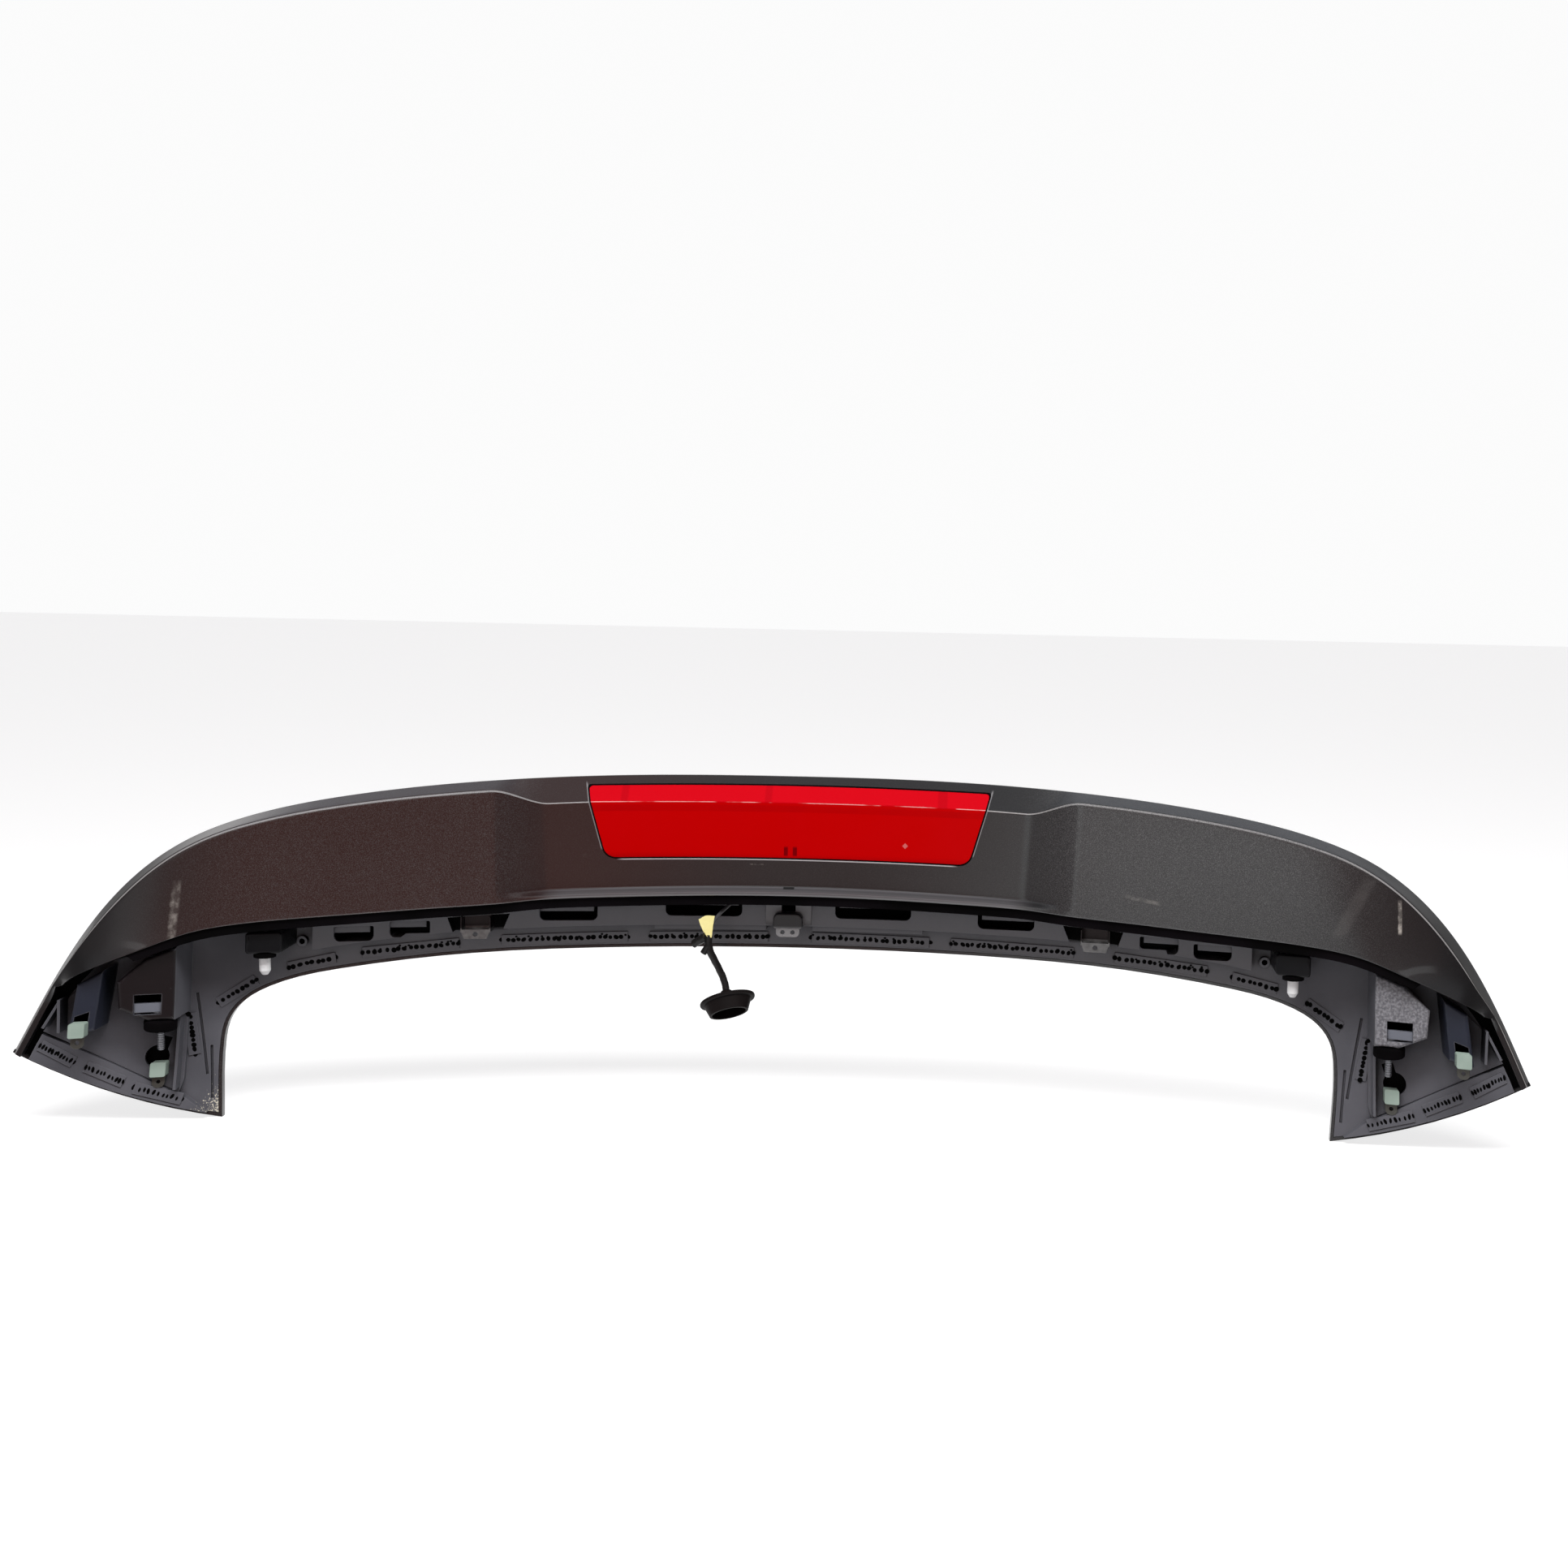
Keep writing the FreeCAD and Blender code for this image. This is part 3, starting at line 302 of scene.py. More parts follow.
corners = [(-FLOOR_HALF, -FLOOR_HALF), (FLOOR_HALF, -FLOOR_HALF),
           (FLOOR_HALF, FLOOR_HALF), (-FLOOR_HALF, FLOOR_HALF)]
floor_mesh = bpy.data.meshes.new("floor")
floor_mesh.from_pydata([(x, y, FLOOR_Z) for x, y in corners], [], [(0, 1, 2, 3)])
floor = added("floor", floor_mesh)

pen, paper = finish("white_floor", Base_Color=FLOOR_WHITE, Roughness=0.9, Specular_IOR_Level=0.1)
ray = pen.node("LightPath", out="Is Camera Ray")
seen = ray + ray.other("Is Glossy Ray") + ray.other("Is Transmission Ray")
plain = Socket(pen.tree, paper.outputs[0])
glow = pen.node("Emission", sockets={"Color": FLOOR_GLOW})
lit = pen.node("AddShader", sockets={0: plain, 1: glow})
shown = pen.node("MixShader", sockets={0: seen, 1: plain, 2: lit})
pen.feed(pen.tree.nodes["Material Output"].inputs["Surface"], shown)
floor_mesh.materials.append(finishes["white_floor"])
print("floor at", round(FLOOR_Z, 4))

# %% Ceiling lamp
LAMP_AT, LAMP_AIM = Vector((0.1, -0.75, 1.7)), Vector((0, 0.1, 0.1))
LAMP_SIZE, LAMP_WATTS = (2.4, 0.6), 46

light = bpy.data.lights.new("ceiling_lamp", "AREA")
light.shape = "RECTANGLE"
light.size, light.size_y = LAMP_SIZE
light.energy = LAMP_WATTS
lamp = added("ceiling_lamp", light)
lamp.location = LAMP_AT
lamp.rotation_mode = "QUATERNION"
lamp.rotation_quaternion = (LAMP_AIM - LAMP_AT).to_track_quat("-Z", "Y")
lamp.visible_glossy = False
print("ceiling lamp:", LAMP_WATTS, "W")

# %% [markdown]
# ## Finishes
# Each finish starts from the same shader. What changes over the surface is fed by
# expressions on the position; what is the same everywhere is set on the socket itself.

# %% The usual ingredients of a finish
def axes(pen):
    """x across and z below the top edge in mm, and y as it is."""
    split = pen.node("SeparateXYZ", sockets={0: pen.node("TexCoord", out="Object")})
    return split * 1000.0, split.other(1), (split.other(2) - TOP_Z) * 1000.0


def above_skin(x, y, z):
    """How far in front of the skin a point is, in mm."""
    lift = (z - BULGE_MID) * (1 / BULGE_HALF)
    across = x * (1 / CROWN_AT)
    return (SKIN_Y + BULGE) - lift * lift * BULGE - across * across * CROWN - y * 1000.0


def grain(pen, scale, detail=3.0, rough=0.5):
    at = pen.node("TexCoord", out="Object")
    return pen.node("TexNoise", sockets={"Vector": at, "Scale": scale, "Detail": detail,
                                         "Roughness": rough})


def surface(pen, shader, base, rough, relief, depth, edge):
    """Feeds colour and roughness, adds a relief and rounds the look of the edges."""
    rounded = pen.node("Bevel", {"samples": 4}, {"Radius": edge})
    bump = pen.node("Bump", sockets={"Strength": 1.0, "Distance": depth, "Height": relief,
                                     "Normal": rounded})
    for name, value in (("Base Color", base), ("Roughness", rough), ("Normal", bump)):
        pen.feed(shader.inputs[name], value)


def tell(name):
    print(name, len(finishes[name].node_tree.nodes), "shader nodes")


print("finish helpers ready")

# %% [markdown]
# ### Dark grey metallic paint
# Car paint is a base full of metal flakes under a clear coat. The flakes are a very fine
# noise in the base colour, the coat is the shader's own coat layer. Light is painted into
# the base too: a brown reflection of the room on the left half, flakes that sparkle more
# on the wings, a right wing lightened as if lit, a pale streak on the left wing as a
# painted highlight, and painted highlights on the ledge under the lamp and the edge of its
# opening. This is a used part: a thin pale line and a soft smear on the right wing, and a
# few short scratches. Each is a mask made from x and z, so no picture is needed. The same
# paint, without the marks, covers the skin, and a pale one, a painted highlight, the
# rounded crease, which catches the light all along.

# %% Marks and painted highlights on the paint
PAINT_DARK = colour(0.011, 0.0105, 0.0115)
PAINT_BROWN_REFLECTION = colour(0.024, 0.008, 0.007)
PAINT_FLAKE = colour(0.085, 0.085, 0.087)
DUST = colour(0.14, 0.135, 0.13)
PALE = colour(0.50, 0.47, 0.43)
RIM_HIGHLIGHT = colour(0.42, 0.41, 0.42)
LEDGE_SKY_LIT = colour(0.11, 0.105, 0.112)
BLACK = colour(0.002)
CREASE_HIGHLIGHT = colour(0.34, 0.33, 0.33)

STREAK_HIGHLIGHT = ((-490.5, -487.5, 3.0), (-127.0, -88.0, 6.0))
RIGHT_PALE_LINE = ((508.4, 510.0, 1.2), (-101.0, -80.0, 4.0))
SCRATCH = ((292.0, 310.0, 8.0), (-41.0, -40.0, 2.0))
BELOW_LAMP = ((-34.0, -22.0, 2.0), (-73.4, -72.7, 0.3))
SMEAR = ((516.0, 521.0, 6.0), (-104.0, -64.0, 8.0))
SLOT_MARK = ((-3.2, 5.8, 0.3), (-93.0, -91.8, 0.3))
LAMP_TOP_X, LAMP_TOP_Z, LAMP_LOW_X, LAMP_LOW_Z = 173.0, -8.5, 155.0, -70.0
RIM_SLOPE, RIM_SHARE, RIM_LOW, RIM_BOW = 0.2927, 0.96, -68.4, 0.0000666
LEDGE_Z, LEDGE_BOW = -98.0, 0.000119


# Pale marks: a painted highlight on the left wing, and marks of use.
def wear_and_highlight(pen, x, z):
    edge = grain(pen, 140.0, 5.0, 0.6)
    broken = edge.step(0.38, 0.66)
    # Painted highlight: a thin vertical pale streak on the left wing, where its curve catches a
    # light.
    streak_highlight = spot(x + 3.0 * edge, z, STREAK_HIGHLIGHT) * (0.15 + broken)
    # A thin pale vertical line on the right wing.
    right_pale_line = spot(x + 2.0 * edge, z, RIGHT_PALE_LINE) * (0.2 + broken)
    scratch = spot(x, z + 0.16 * x, SCRATCH) * (0.2 + broken)
    below_lamp = spot(x, z, BELOW_LAMP) * broken
    return streak_highlight * 0.35 + right_pale_line * 0.8 + scratch * 0.15 + below_lamp * 0.5


def lamp_rim_highlight(x, z):
    """A painted highlight along the edge of the opening round the lamp."""
    far = abs(x)
    side = (far - LAMP_LOW_X - (z - LAMP_LOW_Z) * RIM_SLOPE) * RIM_SHARE
    low = RIM_LOW - (x * x) * RIM_BOW - z
    sides = patch(side, -0.3, 0.7, 0.3) * patch(z, -60.0, -9.0, 3.0)
    return sides * 0.5 + patch(low, -0.3, 0.8, 0.3) * far.step(146.0, 138.0)


def lit_ledge(x, z):
    """A painted highlight on the flat ledge under the lamp, which faces the sky."""
    rise = z - LEDGE_Z + (x * x) * LEDGE_BOW
    return patch(rise, 0.8, 6.0, 0.6) * abs(x).step(215.0, 185.0)


def marked_and_lit(pen, base, x, z):
    """The base colour with the rear panel's marks of making and use and its painted highlights."""
    bow = z + 0.0009 * (x - 440.0) * (x - 440.0)
    smear = spot(x - 0.55 * z, bow, SMEAR) * grain(pen, 60.0)
    base = (smear * 0.35).mix(base, DUST)
    base = wear_and_highlight(pen, x, z).mix(base, PALE)
    base = (lit_ledge(x, z) * 0.8).mix(base, LEDGE_SKY_LIT)
    base = lamp_rim_highlight(x, z).mix(base, RIM_HIGHLIGHT)
    return spot(x, z, SLOT_MARK).mix(base, BLACK)


print("marks on the paint ready")

# %% Paint
WING_FROM, END_FROM, DULL_FROM = (195.0, 245.0), (430.0, 540.0), (400.0, 540.0)
LIT_WING = (260.0, 430.0, 90.0)


def paint_finish(name, is_panel, deep=PAINT_DARK, left=PAINT_BROWN_REFLECTION):
    pen, shader = finish(name, Metallic=0.3, Coat_Roughness=0.05, IOR=1.5)
    x, _, z = axes(pen)
    far = abs(x)
    flakes = grain(pen, 1500.0, 2.0).step(0.40, 0.72)
    clouds = grain(pen, 9.0, 4.0).step(0.35, 0.75)
    dust = grain(pen, 160.0, 5.0, 0.65).step(0.60, 0.80) * clouds
    # Painted light: the flakes sparkle more on the wings and less at the ends, and the right wing
    # is lightened as if it faced the light.
    turned = (0.12 + 0.5 * far.step(*WING_FROM)) * (1 - 0.9 * far.step(*END_FROM))
    facing_light = patch(x, *LIT_WING) * z.step(-130.0, -40.0)
    # Painted reflection: the left half gets the brown of the room in its base colour.
    base = (x.step(0.0, -200.0) * x.step(-560.0, -430.0)).mix(deep, left)
    base = (flakes * turned + facing_light * (0.1 + 0.35 * flakes)).mix(base, PAINT_FLAKE)
    base = (dust * 0.2).mix(base, DUST)
    base = marked_and_lit(pen, base, x, z) if is_panel else base
    rough = 0.36 + 0.12 * clouds + 0.1 * dust
    pen.feed(shader.inputs["Coat Weight"], 1 - 0.75 * far.step(*DULL_FROM))
    surface(pen, shader, base, rough, grain(pen, 420.0, 2.0), 0.00001, 0.0009)


paint_finish("metallic_paint", True)
# The crease gets a pale paint as a painted highlight.
paint_finish("crease_highlight_paint", False, CREASE_HIGHLIGHT, CREASE_HIGHLIGHT)
paint_finish("skin_paint", False, left=PAINT_DARK)
tell("metallic_paint")

# %% [markdown]
# ### Moulded plastics, rubber and tapes
# Most small pieces are injection moulded: a fine even grain and softly rounded edges.
# Rubber and tape are duller but much the same, so one table holds them all: a finish that
# wanders between two colours, with a roughness and a gloss. The gloss is low for black
# pieces, which would look grey otherwise.

# %% Plastics, rubber and tapes
# name: dark, light, roughness, fineness of the grain, gloss, rounding of the edges
MOULDED = {
    "holder_plastic": ((0.004, 0.004, 0.005), (0.009, 0.009, 0.010), 0.32, 400.0, 0.12, 0.0006),
    "housing_plastic": ((0.012, 0.012, 0.013), (0.02,), 0.5, 700.0, 0.5, 0.0006),
    "inner_shade_black": ((0.0015,), (0.003,), 0.8, 700.0, 0.05, 0.0006),
    "weld_black": ((0.001,), (0.002,), 0.7, 700.0, 0.03, 0.0006),
    "seal_rubber": ((0.002,), (0.005, 0.004, 0.005), 0.8, 700.0, 0.02, 0.0006),
    "grommet_rubber": ((0.004, 0.003, 0.003), (0.009, 0.007, 0.007), 0.42, 300.0, 0.15, 0.0006),
    "peg_nylon": ((0.90, 0.91, 0.92), (0.94,), 0.4, 700.0, 0.5, 0.0006),
    "board_green": ((0.02, 0.09, 0.04), (0.04, 0.14, 0.06), 0.45, 700.0, 0.5, 0.0006),
    "diode_red": ((0.5, 0.05, 0.04), (0.7, 0.12, 0.1), 0.25, 700.0, 0.5, 0.0006),
    "wire_grey": ((0.035, 0.035, 0.037), (0.06, 0.06, 0.063), 0.4, 700.0, 0.5, 0.0006),
    "sleeve_cloth": ((0.008, 0.007, 0.007), (0.013, 0.012, 0.012), 0.36, 1200.0, 0.25, 0.0006),
    "yellow_tape": ((0.58, 0.50, 0.17), (0.80, 0.73, 0.36), 0.7, 500.0, 0.5, 0.0002),
}
MOULD_DEPTH = 0.00005

for name, (dark, light, rough, speck, gloss, edge) in MOULDED.items():
    pen, shader = finish(name, Specular_IOR_Level=gloss)
    clouds = grain(pen, 14.0, 4.0).step(0.3, 0.7)
    specks = grain(pen, speck, 2.0)
    base = clouds.mix(colour(*dark), colour(*light))
    surface(pen, shader, base, rough - 0.06 + 0.12 * specks, specks, MOULD_DEPTH, edge)
print("moulded finishes:", len(MOULDED))

# %% [markdown]
# ### Carrier and nuts
# The carrier is one moulding, but its bosses don't look alike: the outer ones are bluish,
# the right inner one is grey and grainy and painted lighter, as if lit from the left, and
# the left one is brown. A mask from x, z and the height above the skin finds each. Edges
# are paler, partly from wear and partly as a painted highlight, deep corners and the clip
# pockets get painted shade, and the left leg has pale chips where it knocked against
# something. The nuts are nylon with a plated eyelet below.

# %% Carrier
CARRIER_DARK, CARRIER_LIGHT = colour(0.078, 0.079, 0.091), colour(0.115, 0.115, 0.131)
RUN_PALE = colour(0.185, 0.187, 0.200)
BOSS_BROWN = colour(0.005, 0.0022, 0.003)
BOSS_DIM, BOSS_LIT_GREY = colour(0.12, 0.119, 0.132), colour(0.26, 0.258, 0.278)
BOSS_BLUE = colour(0.018, 0.021, 0.034)
SHELF_PALE, EDGE_WEAR_AND_HIGHLIGHT = colour(0.15, 0.16, 0.19), colour(0.15, 0.15, 0.165)
POCKET_SHADE, CORNER_SHADE = colour(0.008, 0.007, 0.008), colour(0.006, 0.006, 0.008)
SCUFF, CHIP = colour(0.13, 0.13, 0.135), colour(0.62, 0.58, 0.48)

INNER_BOSS = ((490.5, 534.0, 0.5), (-196.5, -140.0, 0.5))
OUTER_BOSS = ((542.0, 568.0, 0.5), (-207.0, -152.0, 0.5))
SHELF = ((499.0, 520.0, 0.3), (-191.0, -181.0, 0.3))
CLIP_POCKET = ((243.0, 281.0, 3.0), (-134.0, -112.0, 3.0))
PROUD, SHELF_DEPTH, RUN_FROM = (8.5, 10.0), (39.2, 38.4), (455.0, 390.0)
TIP_X, TIP_Z, TIP_REACH = -462.0, -279.0, (34.0, 2.0)


def edges_worn_and_lit(pen, radius):
    """1 near the outer and inner edges of a moulding, 0 on its faces."""
    true_normal = pen.node("NewGeometry", out="True Normal")
    soft_normal = pen.node("Bevel", {"samples": 6}, {"Radius": radius})
    dot = pen.node("VectorMath", {"operation": "DOT_PRODUCT"}, {0: true_normal, 1: soft_normal},
                   out="Value")
    return (1 - dot).step(0.01, 0.12)


pen, shader = finish("carrier_plastic", Specular_IOR_Level=0.3)
x, y, z = axes(pen)
far, left = abs(x), x.step(1.0, -1.0)
out = above_skin(x, y, z)
specks = grain(pen, 700.0, 2.0)
sparkle = grain(pen, 520.0, 3.0).step(0.35, 0.7)
base = grain(pen, 14.0, 4.0).step(0.3, 0.7).mix(CARRIER_DARK, CARRIER_LIGHT)
base = (far.step(*RUN_FROM) * 0.75).mix(base, RUN_PALE)
# Painted light: the right inner boss is lighter and grainy, as if lit from the left.
inner_boss = left.mix(sparkle.mix(BOSS_DIM, BOSS_LIT_GREY), BOSS_BROWN)
base = (spot(far, z, INNER_BOSS) * out.step(*PROUD)).mix(base, inner_boss)
base = (spot(far, z, OUTER_BOSS) * out.step(*PROUD)).mix(base, BOSS_BLUE)
base = (spot(far, z, SHELF) * out.step(*SHELF_DEPTH)).mix(base, SHELF_PALE)
# Painted shade in the clip pockets.
base = spot(far, z, CLIP_POCKET).mix(base, POCKET_SHADE)
# Paler edges: partly wear, partly a painted highlight.
base = (edges_worn_and_lit(pen, 0.0012) * 0.6).mix(base, EDGE_WEAR_AND_HIGHLIGHT)
near_tip = (abs(x - TIP_X) + abs(z - TIP_Z) * 0.7).step(*TIP_REACH)
chips = (grain(pen, 700.0, 3.0) + near_tip * 0.22).step(0.72, 0.75) * near_tip.step(0.02, 0.2)
scuffs = grain(pen, 220.0, 5.0, 0.7).step(0.66, 0.74) * 0.25
base = chips.mix(scuffs.mix(base, SCUFF), CHIP)
# Painted shade in deep corners, from ambient occlusion.
open_air = pen.node("AmbientOcclusion", {"samples": 6}, {"Distance": 0.03}, out="AO")
base = open_air.step(0.15, 0.72).mix(CORNER_SHADE, base)
surface(pen, shader, base, 0.38 + 0.14 * specks, specks, MOULD_DEPTH, 0.0006)
tell("carrier_plastic")

# %% Nuts
NUT_GREEN, NUT_PALE = colour(0.26, 0.34, 0.29), colour(0.36, 0.44, 0.39)
EYELET = colour(0.10, 0.10, 0.09)
OUTER_EYELET, INNER_EYELET = (-205.0, -206.0), (-245.4, -246.4)

# The plated eyelet starts lower on the inner nuts.
pen, shader = finish("nut_nylon", Specular_IOR_Level=0.3)
x, _, z = axes(pen)
outer = abs(x).step(530.0, 531.0)
eyelet = outer * z.step(*OUTER_EYELET) + (1 - outer) * z.step(*INNER_EYELET)
clouds = grain(pen, 90.0)
base = eyelet.mix(clouds.mix(NUT_GREEN, NUT_PALE), EYELET)
pen.feed(shader.inputs["Metallic"], eyelet * 0.6)
surface(pen, shader, base, 0.30 + 0.1 * clouds, clouds, 0.00003, 0.0005)
tell("nut_nylon")

# %% [markdown]
# ### Red lens
# The lens is clear red plastic over a bright reflector. From outside it reads as a deep,
# saturated red, a little lighter on the facet that leans to the sky, a painted highlight,
# with a broken pale line along the crease as a painted highlight too. Real clear plastic
# would need the reflector's small cells behind it, so the colours are put on the surface
# instead. Two dark catches and three posts shine through.

# %% Lens
LENS_DEEP = colour(0.47, 0.0, 0.0)
LENS_SKY_LIT = colour(0.52, 0.002, 0.008)
LENS_DARK = colour(0.10, 0.0, 0.002)
LENS_HIGHLIGHT_AND_FLASH = colour(0.95, 0.70, 0.68)

CATCHES, CATCH_HEIGHT = ((-3.2, -0.8, 1.0), (4.4, 7.0, 1.0)), (-64.0, -59.0, 2.5)
POSTS = ((-142.0, -138.0, 2.0), (-20.0, -16.0, 2.0), (128.0, 134.0, 2.0))
FLASH_X, FLASH_Z = 99.8, -54.4
CREASE_Z, CREASE_BOW = -20.6, 0.000055

pen, shader = finish("red_lens", Coat_Weight=0.05, Coat_Roughness=0.03,
                     Specular_IOR_Level=0.02)
x, _, z = axes(pen)
above_crease = z - CREASE_Z + (x * x) * CREASE_BOW
upper = above_crease.step(-0.8, 0.8)
clouds = grain(pen, 30.0)
broken = grain(pen, 40.0, 3.0).step(0.40, 0.55)
catches = sum(patch(x, *at) for at in CATCHES) * patch(z, *CATCH_HEIGHT)
flash = ((abs(x - FLASH_X) + abs(z - FLASH_Z)) - 1.6).step(1.2, 0.4) * 0.35
shelf = patch(above_crease, -7.0, -3.0, 1.5) * 0.3
posts = sum(patch(x, *at) for at in POSTS) * upper * 0.18
rim = z.step(-63.0, -68.0)
# Painted highlight: a broken pale line along the crease.
line = patch(above_crease, -0.1, 0.3, 0.2) * broken
# Painted highlight: the upper facet, which leans to the sky, is lighter.
base = (upper * 0.85 + 0.2 * clouds).mix(LENS_DEEP, LENS_SKY_LIT)
base = (catches * 0.8 + rim * 0.25 + posts + shelf * clouds).mix(base, LENS_DARK)
base = (line * 0.45 + flash * 0.5).mix(base, LENS_HIGHLIGHT_AND_FLASH)
surface(pen, shader, base, 0.10 + 0.08 * clouds, grain(pen, 260.0), 0.00001, 0.0006)
tell("red_lens")

# %% [markdown]
# ### Zinc plated steel and the centre clip
# Small metal parts are plated and a little streaky, and the spring clips are darker above
# a given height as painted shade. The studs carry a thread, drawn as a fine wave along
# their height. The centre clip is one moulding that looks like three: pale side plates, a
# hood darkened as painted shade and a tail lightened as a painted highlight, told apart
# by depth and height.

# %% Steel
THREAD_PITCH = 1.25
CLIP_SHADE, CLIP_BRIGHT_FROM = colour(0.022, 0.018, 0.018), (-130.0, -131.5)


def steel_finish(name, dark, light, thread=False):
    pen, shader = finish(name, Metallic=0.9)
    _, _, z = axes(pen)
    streaks = grain(pen, 240.0, 4.0)
    rough = 0.24 + 0.2 * streaks
    if thread:
        wave = pen.math("SINE", z * (2 * pi / THREAD_PITCH)) * 0.5 + 0.5
        surface(pen, shader, wave.mix(dark, light), rough, wave, 0.0004, 0.0002)
    else:
        # Painted shade: the clip is darker above a given height.
        base = z.step(*CLIP_BRIGHT_FROM).mix(CLIP_SHADE, streaks.mix(dark, light))
        surface(pen, shader, base, rough, streaks, 0.00003, 0.0003)


steel_finish("clip_steel", colour(0.07), colour(0.26))
steel_finish("stud_steel", colour(0.06, 0.06, 0.07), colour(0.42, 0.43, 0.46), thread=True)
tell("stud_steel")

# %% Centre clip
PLATE_DIM, PLATE_PALE = colour(0.15, 0.15, 0.16), colour(0.20, 0.20, 0.21)
HOOD_SHADE, HOOD_FROM = colour(0.008, 0.007, 0.008), (0.1020, 0.1012)
TAIL_LIT, TAIL_FROM = colour(0.22, 0.215, 0.22), (-127.5, -128.5)

pen, shader = finish("clip_plastic")
_, y, z = axes(pen)
# Painted shade on the hood and a painted highlight on the tail of one moulding.
lit_tail = z.step(*TAIL_FROM)
hood_shade = y.step(*HOOD_FROM) * (1 - lit_tail)
clouds = grain(pen, 60.0)
base = hood_shade.mix(clouds.mix(PLATE_DIM, PLATE_PALE), HOOD_SHADE)
surface(pen, shader, lit_tail.mix(base, TAIL_LIT), 0.35 + 0.1 * clouds, clouds, 0.00003, 0.0005)
print("finishes so far:", len(finishes))

# %% [markdown]
# ## Dressing the rigid pieces
# Most nodes of the frame keep their shape and only get a finish. Names that end in left or
# right share one entry.

# %% Finishes of the nodes
WORN_BY = {
    "metallic_paint": "rear_panel", "skin_paint": "top_skin", "carrier_plastic": "carrier",
    "seal_rubber": "edge_seal lamp_gasket stud_seal peg_seal", "red_lens": "lamp_lens",
    "housing_plastic": "lamp_housing", "board_green": "lamp_board", "diode_red": "lamp_diodes",
    "stud_steel": "stud", "peg_nylon": "peg", "holder_plastic": "peg_holder",
    "nut_nylon": "nut_outer nut_inner", "clip_steel": "spring_clip",
    "clip_plastic": "centre_clip", "wire_grey": "lamp_lead", "sleeve_cloth": "lead_sleeve",
    "yellow_tape": "lead_tape", "grommet_rubber": "grommet"}
finish_of = {kind: name for name, kinds in WORN_BY.items() for kind in kinds.split()}

for name, node in nodes.items():
    kind = name.removesuffix("_left").removesuffix("_right")
    node.data.materials.clear()
    node.data.materials.append(finishes[finish_of[kind]])
print("dressed", len(nodes), "nodes")

# %% [markdown]
# ## Welded shells
# The big mouldings arrive as many small faces with their own normals, which would show as
# facets. So they are rebuilt as welded meshes with smooth shading and sharp edges only
# where the real part has them, and the large faces decide the normals, so that thin ones
# beside them don't show. The outer side of the skin is glossy and has few points, so it
# gets the exact normals of its curve. Its inner side gets a near black finish as painted
# shade: that is what shows as black in the windows of the carrier. The clip pockets get
# the same painted shade inside.

# %% Welded shells
WELD = 0.00002
SHARP = 30.0


def new_piece(name, verts, faces, finish_name, slot, angle=SHARP):
    """A smooth mesh on the fixed body. Edges that turn by more than angle are sharp."""
    mesh = bpy.data.meshes.new(name)
    mesh.from_pydata(verts, [], faces)
    mesh.update()
    mesh.shade_smooth()
    mesh.set_sharp_from_angle(angle=radians(angle))
    mesh.materials.append(finishes[finish_name])
    piece = added(name, mesh)
    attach(piece, "root")
    return piece


def even_shading(piece):
    """Lets the large faces decide the normals."""
    weighted = piece.modifiers.new("even_shading", "WEIGHTED_NORMAL")
    weighted.keep_sharp = True


def welded(node, slot):
    """A copy of a node whose faces share their points. It takes the node's place."""
    work = bmesh.new()
    work.from_mesh(nodes[node].data)
    bmesh.ops.remove_doubles(work, verts=work.verts, dist=WELD)
    verts = [v.co.copy() for v in work.verts]
    work.verts.index_update()
    faces = [[v.index for v in f.verts] for f in work.faces]
    work.free()
    piece = new_piece(node + "_shell", verts, faces, finish_of[node], slot)
    even_shading(piece)
    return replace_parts(piece, node)


skin_shell = welded("top_skin", "paint")
carrier_shell = welded("carrier", "carrier_plastic")
for shell in (skin_shell, carrier_shell):
    print(shell.name, len(shell.data.polygons), "faces")

# %% Outer and inner side of the skin
SKIN_T, NEAR_SKIN, FACING = 3.0, 0.6, 0.5


def outer_normal(point):
    """The exact normal of the skin's outer side, which bends like skin_depth."""
    x, _, z = off_skin(point)
    across, upward = CROWN * x / CROWN_AT ** 2, BULGE * (z - BULGE_MID) / BULGE_HALF ** 2
    return Vector((2 * across, 1, 2 * upward)).normalized()


skin = skin_shell.data
skin.materials.append(finishes["inner_shade_black"])
bpy.context.view_layer.update()
shaded = skin_shell.evaluated_get(bpy.context.evaluated_depsgraph_get()).data
normals = [corner.vector.copy() for corner in shaded.corner_normals]
for face in skin.polygons:
    _, out, _ = off_skin(face.center)
    # Painted shade: the inner side is near black, so the windows look dark.
    if face.normal.y < -FACING and abs(out) < NEAR_SKIN:
        face.material_index = 1
    if face.normal.y > FACING and abs(out + SKIN_T) < NEAR_SKIN:
        for corner, vertex in zip(face.loop_indices, face.vertices):
            normals[corner] = outer_normal(skin.vertices[vertex].co)
skin_shell.modifiers.clear()
skin.normals_split_custom_set(normals)
print("inner faces:", sum(face.material_index for face in skin.polygons))

# %% Clip pockets
POCKET_X, POCKET_Z, POCKET_OUT = (235, 288), (-132.5, -117), (9, 19.5)


def within(value, limits):
    return limits[0] < value < limits[1]


moulding = carrier_shell.data
moulding.materials.append(finishes["inner_shade_black"])
for face in moulding.polygons:
    x, out, z = off_skin(face.center)
    # Painted shade: the pocket faces get the near black finish.
    if within(abs(x), POCKET_X) and within(z, POCKET_Z) and within(out, POCKET_OUT):
        face.material_index = 1
print("pocket faces:", sum(face.material_index for face in moulding.polygons))

